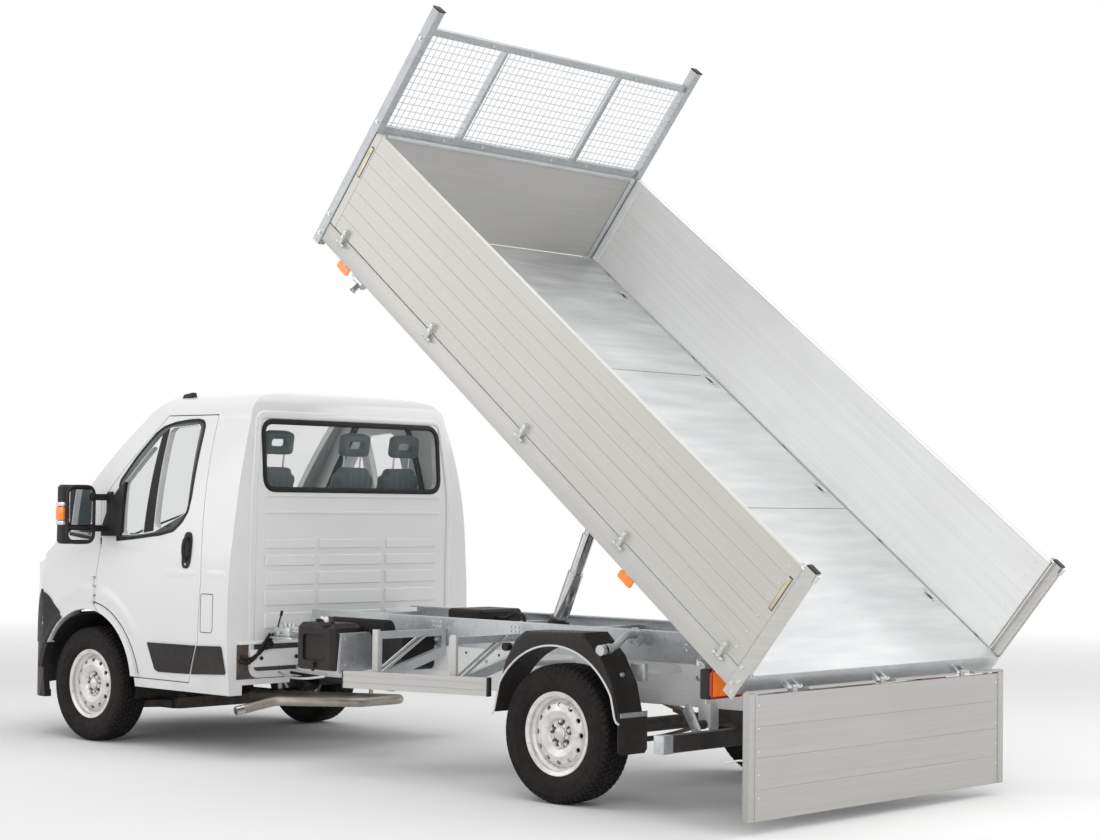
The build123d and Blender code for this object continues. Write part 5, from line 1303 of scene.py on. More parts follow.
def steadied(loop, look):
    """The look of a loop's points with the depth of each set to the middle one of its neighbours."""
    hits = [look(*spot) for spot in loop]
    count = len(loop)
    known = {}
    for k, spot in enumerate(loop):
        near = [hits[(k + step) % count] for step in range(-STEADY_REACH, STEADY_REACH + 1)]
        near = sorted((hit for hit in near if hit[0] is not None), key=lambda hit: abs(hit[0].y))
        if near:
            middle = near[len(near) // 2]
            known[spot] = (at(spot[0], middle[0].y, spot[1]), middle[1])
    return lambda dx, z: known.get((dx, z), (None, None))


def arc_points(radius, start, end, steps):
    """Points (station, height) of an arc round the front wheel, between two angles in degrees."""
    out = []
    for step in range(steps):
        angle = math.radians(start + (end - start) * step / (steps - 1))
        out.append((radius * math.cos(angle), WHEEL_HEIGHT + radius * math.sin(angle)))
    return out


def window_edge(name, door):
    """Rubber band round the side window, and the dark print inside it."""
    kit = Kit()
    kit.ribbon(between(GLAZING, grown(GLAZING, -BAND_WIDTH), door, 0.003), True)
    kit.done(f"window_band_{name}", RUBBER, f"door_{name}", 50)
    kit.ribbon(between(grown(GLAZING, 0.006 - BAND_WIDTH), GLAZED, door, 0.0016), True)
    kit.done(f"window_print_{name}", GLASS_PRINT, f"door_{name}", 50)


def door_joints(name, door, shell):
    """Dark joint round the door, broken off at the wheel opening, where the door has an arc of its own."""
    kit = Kit()
    loop = flat_loop(grown(DOOR_EDGE, JOINT_SHIFT), 0.03, 0.02)
    far = [math.hypot(dx, z - WHEEL_HEIGHT) > JOINT_ARCH for dx, z in loop]
    first = next(k for k in range(len(loop)) if far[k] and not far[k - 1])
    turned = [(first + k) % len(loop) for k in range(len(loop))]
    run = [loop[k] for k in turned if far[k]]
    kit.ribbon(trim_rows(run, steadied(run, shell), JOINT_WIDTH, JOINT_RISE, False))
    kit.done(f"door_joint_{name}", RUBBER, "chassis", 60)
    arc = arc_points(JOINT_ARCH, 96.5, 169.5, 27)
    kit.ribbon(trim_rows(arc, door, JOINT_WIDTH * 0.7, JOINT_RISE, False))
    kit.done(f"door_arch_joint_{name}", RUBBER, f"door_{name}", 60)


def side_swellings(name, door, shell):
    """Soft fold along the cab's waist and soft flare over the wheel, both carried on by the door."""
    kit = Kit()
    sides = {"door": (door, f"door_{name}"), "rear": (shell, "chassis"), "wing": (shell, "chassis")}
    for piece, start, end in (("door", -1.10, -0.72), ("rear", -1.385, -1.155)):
        look, body = sides[piece]
        fold = spaced([(start, CREASE_HEIGHT), (end, CREASE_HEIGHT)], 0.04, False)
        kit.ribbon(soft_rows([tuple(p) for p in fold], look, FOLD_WIDTH, FOLD_RISE))
        kit.done(f"{piece}_crease_{name}", WHITE, body, 80)
    for piece, start, end in (("wing", 30, 95.5), ("door", 97, 150)):
        look, body = sides[piece]
        kit.ribbon(soft_rows(arc_points(FLARE_RADIUS, start, end, 25), look, FLARE_WIDTH, FLARE_RISE))
        kit.done(f"{piece}_flare_{name}", WHITE, body, 80)


def wheel_house(name, way, shell):
    """Bumper's black corner, and the liner: an arched sheet with a wall at its inner edge."""
    kit = Kit()
    plate_on(kit, BUMPER_CORNER, shell, 0.009, 0.002, 0.0125)
    kit.done(f"bumper_corner_{name}", BLACK, "chassis", 50)
    rows = []
    inner = LINER_SPAN[0]
    edge = inner + 0.2
    for step in range(33):
        angle = math.radians(-8 + 196 * step / 32)
        c, s = math.cos(angle), math.sin(angle)
        wing, _ = shell(WING_EDGE * c, WHEEL_HEIGHT + WING_EDGE * s)
        if wing is not None:
            edge = abs(wing.y) - 0.008 if c > 0.15 else min(LINER_SPAN[1], abs(wing.y) - 0.03)
        section = (
            (edge, LINER_RADIUS), (edge, LINER_RADIUS + LINER_SHEET), (inner, LINER_RADIUS + LINER_SHEET),
            (inner, LINER_HOLE), (inner + LINER_SHEET, LINER_HOLE), (inner + LINER_SHEET, LINER_RADIUS),
        )
        rows.append([at(radius * c, y, WHEEL_HEIGHT + radius * s, way) for y, radius in section])
    kit.ribbon(rows)
    kit.done(f"wheel_liner_{name}", RUBBER, "chassis", 40)


def cab_outer(name, way):
    """What surrounds the door of a side: bands, joints, swellings and wheel house."""
    door = on_side(Skin(f"door_{name}"), way)
    shell = on_side(SHELL, way)
    window_edge(name, door)
    door_joints(name, door, shell)
    side_swellings(name, door, shell)
    wheel_house(name, way, shell)


for name, way in WAYS:
    cab_outer(name, way)


def cab_rear_wall():
    """Dark lower back wall, and the cab's rear cross member with its plugs."""
    kit = Kit()
    for low, high, foot in ((-0.945, -0.475, 0.475), (0.475, 0.945, 0.475), (-0.475, 0.475, 0.625)):
        kit.box(at(-1.4045, low, foot), at(-1.3985, high, 0.684), 0.001)
    kit.done("cab_underbody", DARK_METAL_AND_SHADE, "chassis")
    kit.boxes(
        (at(-1.432, 0.455, 0.548), at(-1.404, 0.86, 0.652), 0.004),
        (at(-1.440, -0.86, 0.548), at(-1.404, -0.455, 0.652), 0.004),
        (at(-1.418, -0.93, 0.684), at(-1.3985, 0.93, 0.704), 0.005),
    )
    kit.done("cab_rear_member", FRAME_PAINT, "chassis")
    for way in (1, -1):
        for y in (0.50, 0.78):
            kit.rod(at(-1.41, y, 0.60, way), at(-1.44, y, 0.60, way), 0.012, sides=18)
    kit.done("rear_member_plugs", BLACK, "chassis")


def valve_block():
    """Valve block behind the cab, with its lever and two cables."""
    kit = Kit()
    kit.boxes(
        (at(-1.62, 0.62, 0.735), at(-1.47, 0.72, 0.79), 0.005),
        (at(-1.66, 0.61, 0.72), at(-1.44, 0.735, 0.733), 0.002),
        (at(-1.66, 0.45, 0.722), at(-1.60, 0.62, 0.733), 0.002),
    )
    for dx in (-1.49, -1.53, -1.57, -1.605):
        kit.rod(at(dx, 0.67, 0.785), at(dx, 0.67, 0.812), 0.013, sides=6, bevel=0.001)
    kit.rods(
        (at(-1.43, 0.66, 0.765), at(-1.665, 0.66, 0.765), 0.017, 0.003),
        (at(-1.55, 0.72, 0.762), at(-1.55, 0.745, 0.762), 0.012, 0.001, 6),
    )
    kit.done("valve_block", ZINC, "chassis", 40)
    kit.rods(
        (at(-1.475, 0.69, 0.78), at(-1.53, 0.71, 0.868), 0.005, 0.0),
        (at(-1.527, 0.709, 0.864), at(-1.54, 0.713, 0.885), 0.009, 0.003),
    )
    kit.done("valve_lever", BLACK, "chassis")
    for shift, low in ((0.0, 0.60), (0.03, 0.575)):
        start = at(-1.455, 0.70 + shift, 0.748)
        kit.pipe([
            start, start + Vector((0.02, 0.005, -0.03)), at(-1.437, 0.745 + shift, 0.675),
            at(-1.436, 0.80 + shift, low + 0.03), at(-1.434, 0.86 + shift * 0.6, low),
            at(-1.424, 0.90 + shift * 0.5, low + 0.004), at(-1.401, 0.915 + shift * 0.4, low + 0.012),
        ], 0.0105, 12)
    kit.rod(at(-1.440, 0.712, 0.69), at(-1.446, 0.76, 0.672), 0.021, bevel=0.003)
    kit.done("valve_cables", RUBBER, "chassis", 60)


CANISTER_CAP = (
    (-0.03, 0.033), (0.012, 0.033), (0.014, 0.040), (0.040, 0.040), (0.044, 0.036), (0.046, 0.0005),
    (-0.03, 0.0005),
)
DUCT_HALF = 0.24
DUCT_PITCH = 0.02
DUCT_RIB = ((0.004, 0.046), (0.007, 0.054), (0.014, 0.054), (0.017, 0.046))
GUSSET = ((0.455, 0.765), (0.52, 0.80), (0.962, 0.802), (0.982, 0.575), (0.888, 0.575), (0.455, 0.60))
GUSSET_FACE = -2.342


def canister():
    """Cap, tap and spout of the canister."""
    kit = Kit()
    place, axis = at(-2.235, 0.955, 0.838), Vector((-0.25, 0.62, 0.74)).normalized()
    kit.lathe(CANISTER_CAP, place, axis, 40)
    kit.rods(
        (at(-2.165, 1.003, 0.612), at(-2.165, 1.022, 0.612), 0.014, 0.002),
        (at(-2.165, 1.014, 0.63), at(-2.165, 1.014, 0.582), 0.009, 0.002),
    )
    kit.box(at(-2.185, 1.010, 0.625), at(-2.145, 1.018, 0.637), 0.002)
    kit.done("canister_cap", BLACK, "chassis", 40)
    start = place + axis * 0.046
    kit.rod(start - axis * 0.01, start + axis * 0.014, 0.015, bevel=0.003)
    kit.rod(start + axis * 0.006, start + axis * 0.008 + Vector((0.032, 0.012, 0.012)), 0.0085, bevel=0.002)
    kit.done("canister_spout", WHITE, "chassis", 40)


def ribbed_duct():
    """Ribbed duct behind the canister."""
    kit = Kit()
    profile = [(-DUCT_HALF, 0.001), (-DUCT_HALF, 0.046)]
    for step in range(24):
        profile += [(DUCT_PITCH * step - DUCT_HALF + shift, radius) for shift, radius in DUCT_RIB]
    profile += [(DUCT_HALF, 0.046), (DUCT_HALF, 0.001)]
    kit.lathe(profile, at(-2.22, 0.69, 0.822), (1, 0, 0), 36)
    kit.done("ribbed_duct", BLACK, "chassis", 40)


def gusset():
    """Galvanised gusset laid on both faces of the outrigger."""
    kit = Kit()
    face = station(GUSSET_FACE)
    for near in (face - 0.0105, face + 0.0002):
        kit.prism(GUSSET, (near, 0, 0), (1, 0, 0), 0.0024)
    kit.box((face - 0.011, 0.455, 0.797), (face + 0.03, 0.965, 0.803), 0.001)
    for y, z in ((0.56, 0.77), (0.56, 0.63), (0.93, 0.62), (0.93, 0.77)):
        kit.bolt((face - 0.0105, y, z), (-1, 0, 0), *GUSSET_BOLT)
    kit.done("outrigger_gusset", GALVANISED, "chassis", 40)


def side_guard(name, way):
    """Uprights, struts and end caps of a side guard."""
    kit = Kit()
    for dx in GUARD_STATIONS:
        kit.box(at(dx - 0.028, 0.986, 0.595, way), at(dx + 0.018, 1.0055, 0.842, way), 0.002)
    kit.done(f"guard_uprights_{name}", ANODISED, "chassis")
    for dx in GUARD_STATIONS:
        for shift in (-0.022, 0.022):
            kit.rod(at(dx + shift, 0.985, 0.59, way), at(dx + shift, 0.59, 0.82, way), 0.009)
        for y, z in ((0.53, 0.812), (0.53, 0.772), (0.57, 0.812), (0.97, 0.812), (0.97, 0.56)):
            kit.bolt(at(dx - 0.010, y, z, way), (-1, 0, 0), *STRUT_BOLT)
        for z in (0.845, 0.870):
            for shift in (-0.03, 0.0, 0.03):
                kit.bolt(at(dx + shift, 0.5105, z, way), (0, way, 0), *SUBFRAME_BOLT)
    kit.done(f"guard_struts_{name}", ZINC, "chassis", 40)
    for rear, front, low, high in ((-3.586, -3.572, 0.529, 0.632), (-2.443, -2.431, 0.500, 0.600)):
        kit.box(at(rear, 1.0025, low, way), at(front, 1.0315, high, way), 0.003)
    kit.done(f"guard_end_caps_{name}", BLACK, "chassis")


def frame_fixings(name, way):
    """Bolts and rivets along the frame rail and the subframe, and dark discs of painted shade for the rail's
    holes.
    """
    kit = Kit()
    for dx in (-1.56, -1.62, -1.86, -2.44, -2.50, -2.95, -3.02, -3.46, -4.56, -4.62, -4.86, -4.94):
        kit.bolt(at(dx, 0.460, 0.66, way), (0, way, 0), *RAIL_BOLT)
    for dx in (-1.60, -2.05, -2.42, -3.0, -3.52, -4.52, -4.95):
        for z in (0.805, 0.835):
            rivet(kit, at(dx, 0.5102, z, way), (0, way, 0), 0.007)
    kit.done(f"frame_bolts_{name}", ZINC, "chassis", 40)
    # painted shade: dark discs stand for the holes in the rail
    for dx in (-1.70, -1.78, -2.56, -2.86, -3.12, -3.40, -4.66, -4.72, -4.80, -4.90, -5.0):
        for shift, z, radius in ((0.0, 0.70, 0.008), (-0.02, 0.62, 0.0065)):
            place = dx + shift
            kit.rod(at(place, 0.459, z, way), at(place, 0.4612, z, way), radius, sides=18)
    kit.done(f"frame_hole_shade_{name}", DARK_METAL_AND_SHADE, "chassis")


# Side guards' uprights, and pipes along the frame: name, finish, radius, corner, points
GUARD_STATIONS = (-2.672, -3.288)
PIPES = (
    ("brake_pipe", RUBBER, 0.009, 0.05, (
        (-1.41, 0.52, 0.50), (-1.62, 0.50, 0.488), (-1.95, 0.49, 0.462), (-2.30, 0.485, 0.448),
        (-2.34, 0.47, 0.48),
    )),
    ("bright_pipe", ZINC, 0.008, 0.04, (
        (-1.41, 0.62, 0.505), (-1.50, 0.61, 0.480), (-1.62, 0.585, 0.478), (-1.70, 0.50, 0.492),
    )),
)
TAILPIPE_RIM = ((-0.05, 0.0283), (0.0006, 0.0283), (0.0008, 0.027), (0.0004, 0.0245), (-0.05, 0.0245))


def pipes():
    """Brake pipe and bright pipe along the frame."""
    kit = Kit()
    for name, finish, radius, corner, points in PIPES:
        kit.pipe(rounded([at(*p) for p in points], corner, False), radius, 12)
        kit.done(name, finish, "chassis", 60)


def tailpipe():
    """Bright rim at the end of the exhaust, and a dark disc across its bore: soot and painted shade."""
    kit = Kit()
    way = Vector((0.06, 0.26, -0.05)).normalized()
    mouth = at(-1.42, 0.96, 0.29)
    kit.lathe(TAILPIPE_RIM, mouth, way, 36)
    kit.done("tailpipe_rim", CHROME, "chassis", 60)
    # soot and painted shade: a dark disc closes the bore
    kit.rod(mouth - way * 0.01, mouth + way * 0.0004, 0.0247, sides=32)
    kit.done("tailpipe_bore", DARK_METAL_AND_SHADE, "chassis", 60)


cab_rear_wall()
valve_block()
canister()
ribbed_duct()
gusset()
for name, way in WAYS:
    side_guard(name, way)
    frame_fixings(name, way)
pipes()
tailpipe()

# Mudguard shell, lips, flap and its bent tube. Outline in the side view from the front foot over the top.
GUARD_OUTLINE = [
    (-3.589, 0.452), (-3.625, 0.60), (-3.668, 0.734), (-3.744, 0.850), (-3.800, 0.890), (-4.215, 0.900),
    (-4.338, 0.786), (-4.422, 0.642), (-4.462, 0.481),
]
GUARD_MIDDLE = (-4.025, 0.372)
GUARD_ARCH = 0.452
GUARD_SPAN = (0.79, 1.0)
# rolled outer lip, columns: inset from the outer edge, drop from the outline
GUARD_LIP = ((0.034, 0.0), (0.020, 0.003), (0.009, 0.010), (0.002, 0.022), (0.0, 0.036))
STAY_BASE = (-4.175, 0.858)
STAY_TUBE = (
    (-4.175, 0.512, 0.872), (-4.180, 0.60, 0.872), (-4.25, 0.74, 0.842), (-4.318, 0.86, 0.822),
    (-4.332, 0.965, 0.815),
)


def guard_rows(way):
    """Cross sections of a mudguard from its front foot over the top."""
    middle = Vector(GUARD_MIDDLE)
    rows = []
    y0, y1 = GUARD_SPAN
    for point in spaced(GUARD_OUTLINE, 0.02, False):
        out = (point - middle).normalized()
        far = (point - middle).length
        near = min(GUARD_ARCH, far - 0.012)
        section = [(y0, near), (y0, far)]
        section += [(y1 - inset, max(far - drop, near)) for inset, drop in GUARD_LIP]
        section.append((y1, near))
        spots = [(middle + out * reach, y) for y, reach in section]
        rows.append([at(spot.x, y, spot.y, way) for spot, y in spots])
    return rows


def mudguard(name, way, replaces):
    """Shell with its rolled lip, mud flap, edging and stays."""
    rows = guard_rows(way)
    kit = Kit()
    kit.ribbon(rows)
    y0, y1 = GUARD_SPAN
    flap = [(y0 - 0.02, 0.505), (y1, 0.505), (y1, 0.31), (y1 - 0.02, 0.29), (y0, 0.29), (y0 - 0.02, 0.31)]
    kit.prism([(-way * y, z) for y, z in flap], at(-4.470, 0, 0), (-1, 0, 0), 0.007, bevel=0.0015)
    kit.done(f"mudguard_{name}", BLACK, "chassis", 40, replaces=replaces)
    edge = [row[-1] + Vector((0, way * 0.001, 0)) for row in rows]
    tail = [edge[-1] + Vector(p) for p in ((-0.012, 0, -0.022), (-0.03, 0, -0.03))]
    kit.pipe([edge[0] + Vector((0.012, 0, -0.012))] + edge + tail, 0.0055, 10)
    kit.done(f"mudguard_edging_{name}", PLATE_WHITE, "chassis", 60)
    guard_stays(name, way)


def guard_stays(name, way):
    """Flap's strip, bent tube from the subframe with its base plate, front tube and bracket."""
    kit = Kit()
    y0, y1 = GUARD_SPAN
    kit.box(at(-4.4805, y0 - 0.015, 0.478, way), at(-4.476, y1 - 0.012, 0.503, way), 0.0015)
    for y in (0.80, 0.98):
        kit.bolt(at(-4.4805, y, 0.49, way), (-1, 0, 0), *FLAP_BOLT)
    kit.pipe(rounded([at(*p, way) for p in STAY_TUBE], 0.07, False), 0.020, 18)
    dx, z = STAY_BASE
    kit.rod(at(dx, 0.5105, z, way), at(dx, 0.522, z, way), 0.052, sides=36, bevel=0.002)
    for turn in range(4):
        angle = TAU * (turn + 0.5) / 4
        place = at(dx + 0.036 * math.cos(angle), 0.521, z + 0.036 * math.sin(angle), way)
        kit.bolt(place, (0, way, 0), *TUBE_BOLT)
    kit.rod(at(-4.325, 0.905, 0.819, way), at(-4.329, 0.935, 0.817, way), 0.0255, bevel=0.003)
    kit.rod(at(-4.331, 0.955, 0.8155, way), at(-4.333, 0.985, 0.8145, way), 0.0255, bevel=0.003)
    kit.bolt(at(-4.41, 0.90, 0.69, way), (-0.86, 0, 0.5), *GUARD_BOLT)
    kit.rod(at(-3.60, 0.51, 0.792, way), at(-3.60, 0.905, 0.792, way), 0.020, bevel=0.002)
    kit.box(at(-4.470, 0.762, 0.655, way), at(-4.375, 0.7905, 0.745, way), 0.003)
    kit.done(f"mudguard_stays_{name}", GALVANISED, "chassis", 50)
    kit.rod(at(-3.60, 0.885, 0.792, way), at(-3.60, 0.920, 0.792, way), 0.0225, bevel=0.002)
    kit.rod(at(-4.332, 0.940, 0.816, way), at(-4.332, 0.954, 0.816, way), 0.0265, bevel=0.002)
    kit.done(f"stay_plugs_{name}", BLACK, "chassis", 50)


mudguard("left", 1, ("mudguards",))
mudguard("right", -1, ())


# Zigzag bracket of the tail lamp and spring shackle in the side view, columns: station, height
LAMP_BRACKET = (
    (-4.935, 0.80), (-4.975, 0.775), (-4.975, 0.72), (-5.035, 0.70), (-5.035, 0.655), (-4.985, 0.635),
    (-4.985, 0.585),
)
SHACKLE = ((-4.600, 0.535), (-4.575, 0.50), (-4.648, 0.385), (-4.685, 0.385), (-4.695, 0.42), (-4.630, 0.535))


def tail_lamp(name, way):
    """Amber, housing and zigzag bracket of a tail lamp."""
    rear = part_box("tail_lamps")[0].x
    kit = Kit()
    kit.box((rear - 0.001, way * 0.936, 0.632), (rear + 0.012, way * 1.050, 0.760), 0.006)
    kit.done(f"lamp_amber_{name}", AMBER_LENS, "chassis")
    kit.box((rear + 0.0125, way * 0.801, 0.621), (rear + 0.074, way * 1.0585, 0.769), 0.008)
    kit.done(f"lamp_housing_{name}", BLACK, "chassis")
    rows = []
    for k, (dx, z) in enumerate(LAMP_BRACKET):
        before = Vector(LAMP_BRACKET[max(0, k - 1)])
        after = Vector(LAMP_BRACKET[min(len(LAMP_BRACKET) - 1, k + 1)])
        along = (after - before).normalized()
        across = Vector((-along.y, along.x)) * 0.003
        rows.append([at(dx + face * across.x, y, z + face * across.y, way)
                     for face, y in ((1, 0.86), (1, 0.935), (-1, 0.935), (-1, 0.86))])
    kit.ribbon(rows)
    kit.box(at(-4.945, 0.46, 0.772, way), at(-4.925, 0.935, 0.802, way), 0.002)
    kit.done(f"lamp_bracket_{name}", FRAME_PAINT, "chassis")


def shackle(name, way):
    """Spring shackle with its two bolts, and the silver end of the underrun bar."""
    kit = Kit()
    for y in (0.455, 0.60):
        outline = [(-way * station(dx), z) for dx, z in SHACKLE]
        kit.prism(outline, (0, way * y, 0), (0, way, 0), 0.008, bevel=0.001)
    for dx, z in ((-4.608, 0.511), (-4.668, 0.405)):
        kit.bolt(at(dx, 0.608, z, way), (0, way, 0), *SHACKLE_BOLT)
    kit.box(at(-4.852, 1.0905, 0.334, way), at(-4.788, 1.094, 0.426, way), 0.001)
    kit.box(at(-4.8535, 1.02, 0.3338, way), at(-4.7865, 1.0905, 0.4262, way), 0.004)
    kit.done(f"shackles_{name}", GALVANISED, "chassis", 40)


for name, way in WAYS:
    tail_lamp(name, way)
    shackle(name, way)

# Wheels: nuts with painted shade in their recesses, painted shade over the rim's holes, hub cap and valve.
# Profiles, columns: along, radius.
NUT_RECESS_SHADE = ((0.0, 0.0245), (0.0024, 0.0245), (0.0028, 0.021), (0.0016, 0.010), (0.0, 0.010))
HUB_CAP = ((-0.004, 0.026), (0.002, 0.026), (0.004, 0.023), (0.0045, 0.0006), (-0.004, 0.0006))
NUT_CIRCLE = 0.065
NUTS = 5
HOLE_CIRCLE = 0.161
HOLES = 12
HOLE_POINTS = 20


def rim_details(corner, side):
    """Nuts with painted shade in their recesses, painted shade over the holes, hub cap and valve of a rim."""
    rim = Skin(f"rim_{corner}")
    low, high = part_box(f"rim_{corner}")
    centre = (low + high) / 2
    body = f"wheel_{corner}"
    upward = TAU / 4
    out = Vector((0, side, 0))

    def face(radius, angle, turn=0.0):
        turn += angle
        return rim.side(centre.x + radius * math.cos(turn), centre.z + radius * math.sin(turn), side)[0]

    kit = Kit()
    nuts = [face(NUT_CIRCLE, upward, TAU * k / NUTS) for k in range(NUTS)]
    for place in nuts:
        kit.lathe(NUT_RECESS_SHADE, place, out, 28)
    for k in range(HOLES):
        angle = upward + TAU * k / HOLES
        turns = [TAU * step / HOLE_POINTS for step in range(HOLE_POINTS)]
        ring = [face(HOLE_CIRCLE + 0.015 * math.cos(turn), angle, 0.118 * math.sin(turn)) for turn in turns]
        if None not in ring:
            kit.ribbon([[p - out * 0.0024 for p in ring], [p + out * 0.0012 for p in ring]])
    kit.done(f"rim_shadows_{corner}", DARK_METAL_AND_SHADE, body, 40)
    for place in nuts:
        kit.rod(place - out * 0.004, place + out * 0.011, 0.0105, sides=6, bevel=0.0015)
        kit.rod(place + out * 0.010, place + out * 0.0135, 0.007, sides=18, bevel=0.001)
    kit.lathe(HUB_CAP, face(0.004, 0), out, 40)
    valve = face(0.20, upward - 1.9)
    kit.rod(valve, valve + out * 0.012, 0.004, bevel=0.001)
    kit.done(f"wheel_nuts_{corner}", MATERIALS["wheel_paint"], body, 40)


for corner, side in CORNERS.items():
    rim_details(corner, side)

# Seats. Backs and headrests stand where the photo's rear window shows them.
VOXEL = 0.011
SWELL = 0.022
SEAT_TOP = 1.80
# station and height of the backrest's foot, and its lean
SEAT_FOOT = (-1.085, 0.985)
SEAT_SLOPE = -0.090 / 0.575


def simulated(source):
    """Coordinates of a closed mesh after a short cloth run under pressure."""
    cloth = source.modifiers.new("cloth", "CLOTH")
    cloth.settings.quality = 4
    cloth.settings.use_pressure = True
    cloth.settings.uniform_pressure_force = 4.0
    cloth.settings.effector_weights.gravity = 0.0
    scene = bpy.context.scene
    for number in range(1, 21):
        scene.frame_set(number)
    view = source.evaluated_get(bpy.context.evaluated_depsgraph_get())
    mesh = view.to_mesh()
    out = np.empty(len(mesh.vertices) * 3, dtype=np.float32)
    mesh.vertices.foreach_get("co", out)
    view.to_mesh_clear()
    source.modifiers.remove(cloth)
    scene.frame_set(1)
    return out.reshape(-1, 3)


def upholster(name, kit, body, flutes=None, replaces=()):
    """Turns a kit of overlapping firm forms into one padded, swollen and fluted skin."""
    rough = bpy.data.meshes.new(name + "_rough")
    kit.mesh.to_mesh(rough)
    kit.mesh.free()
    source = bpy.data.objects.new(name + "_rough", rough)
    bpy.context.scene.collection.objects.link(source)
    remesh = source.modifiers.new("skin", "REMESH")
    remesh.mode = "VOXEL"
    remesh.voxel_size = VOXEL
    bpy.context.view_layer.update()
    view = source.evaluated_get(bpy.context.evaluated_depsgraph_get())
    mesh = bpy.data.meshes.new_from_object(view)
    source.modifiers.clear()
    source.data = mesh
    count = len(mesh.vertices)
    start = np.empty(count * 3, dtype=np.float32)
    mesh.vertices.foreach_get("co", start)
    start = start.reshape(-1, 3)
    moved = simulated(source) - start
    length = np.linalg.norm(moved, axis=1, keepdims=True)
    start = start + moved * np.minimum(1.0, SWELL / np.maximum(length, 1e-6))
    mesh.vertices.foreach_set("co", start.astype(np.float32).ravel())
    mesh.update()
    soft = bmesh.new()
    soft.from_mesh(mesh)
    for _ in range(2):
        bmesh.ops.smooth_vert(
            soft, verts=soft.verts[:], factor=0.5, use_axis_x=True, use_axis_y=True, use_axis_z=True
        )
    soft.normal_update()
    if flutes:
        for vert in soft.verts:
            vert.co += vert.normal * flutes(vert.co, vert.normal)
    for face in soft.faces:
        face.smooth = True
    data = bpy.data.meshes.new(name)
    soft.to_mesh(data)
    soft.free()
    made = bpy.data.objects.new(name, data)
    bpy.context.scene.collection.objects.link(made)
    bpy.data.objects.remove(source)
    data.materials.append(MATERIALS["seat_fabric"])
    divide = made.modifiers.new("finer", "SUBSURF")
    divide.levels = 1
    divide.render_levels = 1
    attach(made, body)
    for node in replaces:
        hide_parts(node)
    return made


def back_station(height):
    """Station of the backrest's middle at a height."""
    return station(SEAT_FOOT[0] + SEAT_SLOPE * (height - SEAT_FOOT[1]))


def leaned(kit, centre, width, low, high, thick, shift=0.0, bevel=0.03):
    """Upright pad between two heights, leaning back with the seat."""
    x = back_station((low + high) / 2) + shift
    turn = Matrix.Rotation(math.atan(SEAT_SLOPE), 4, "Y")
    kit.box((x - thick / 2, centre - width / 2, low), (x + thick / 2, centre + width / 2, high), bevel, turn)


def headrest(name, number, y):
    """Ring-shaped headrest in four pads, on two rods."""
    kit = Kit()
    low, high = SEAT_TOP + 0.045, SEAT_TOP + 0.195
    # columns: shift from the middle, width, bottom, top, thickness
    for shift, width, bottom, top, thick in (
        (0.0, 0.215, low, low + 0.052, 0.07), (0.0, 0.185, high - 0.055, high, 0.065),
        (-0.090, 0.062, low, high - 0.008, 0.068), (0.090, 0.062, low, high - 0.008, 0.068),
    ):
        leaned(kit, y + shift, width, bottom, top, thick, -0.004, 0.022)
    upholster(f"{name}_headrest_{number}", kit, "chassis")
    kit = Kit()
    for side in (y + 0.07, y - 0.07):
        start = (back_station(SEAT_TOP - 0.05), side, SEAT_TOP - 0.05)
        end = (back_station(SEAT_TOP + 0.05), side, SEAT_TOP + 0.07)
        kit.rod(start, end, 0.006, sides=12)
    kit.done(f"{name}_headrest_rods_{number}", CHROME, "chassis")


def seat(name, middle, places, spread, width, node):
    """Cushion with side rolls, backrest with a top for each place, headrests and base."""
    kit = Kit()
    half = width / 2
    x0, x1 = station(-1.05), station(-0.58)
    kit.box((x0, middle - half + 0.03, 0.90), (x1, middle + half - 0.03, 1.0), 0.035)
    for way in (1, -1):
        edge = middle + way * half
        kit.box((x0 + 0.02, edge - way * 0.075, 0.90), (x1 - 0.03, edge - way * 0.02, 1.025), 0.025)
    tops = [middle + spread * k for k in ((0,) if places == 1 else (-1, 1))]
    leaned(kit, middle, width - 0.04, 0.95, 1.56, 0.10)
    for top in tops:
        leaned(kit, top, 0.40 if places > 1 else width - 0.07, 1.35, 1.66, 0.095)
        leaned(kit, top, 0.26, 1.60, SEAT_TOP - 0.01, 0.085)
        leaned(kit, top, 0.34, 1.60, SEAT_TOP - 0.05, 0.085)

    def flutes(place, normal):
        if abs(normal.x) < 0.55:
            return 0.0
        near = min(abs(place.y - top) for top in tops)
        fade = max(0.0, min(1.0, (0.20 - near) / 0.05))
        return -0.005 * fade * max(0.0, math.cos(TAU * (place.y - tops[0]) / 0.052)) ** 3

    upholster(name, kit, "chassis", flutes, (node,))
    for k, top in enumerate(tops):
        headrest(name, k, top)
    kit = Kit()
    kit.box(at(-1.10, middle - half + 0.04, 0.634), at(-0.60, middle + half - 0.04, 0.90), 0.012)
    kit.box(at(-1.12, middle - half + 0.01, 0.84), at(-0.59, middle + half - 0.01, 0.885), 0.012)
    kit.done(f"{name}_base", TRIM_GREY, "chassis")


seat("seat_driver", 0.51, 1, 0.0, 0.46, "driver_seat")
seat("seat_bench", -0.36, 2, 0.22, 0.94, "passenger_bench")

# Camera, floor and light
CAMERA_PLACE = (-11.851, 9.629, 1.584)
CAMERA_YAW = math.radians(-47.63)
CAMERA_PITCH = math.radians(2.05)
CAMERA_ROLL = math.radians(0.75)
FOCAL_PIXELS = 2227.4
PHOTO_WIDTH = 1100
SENSOR_WIDTH = 36.0


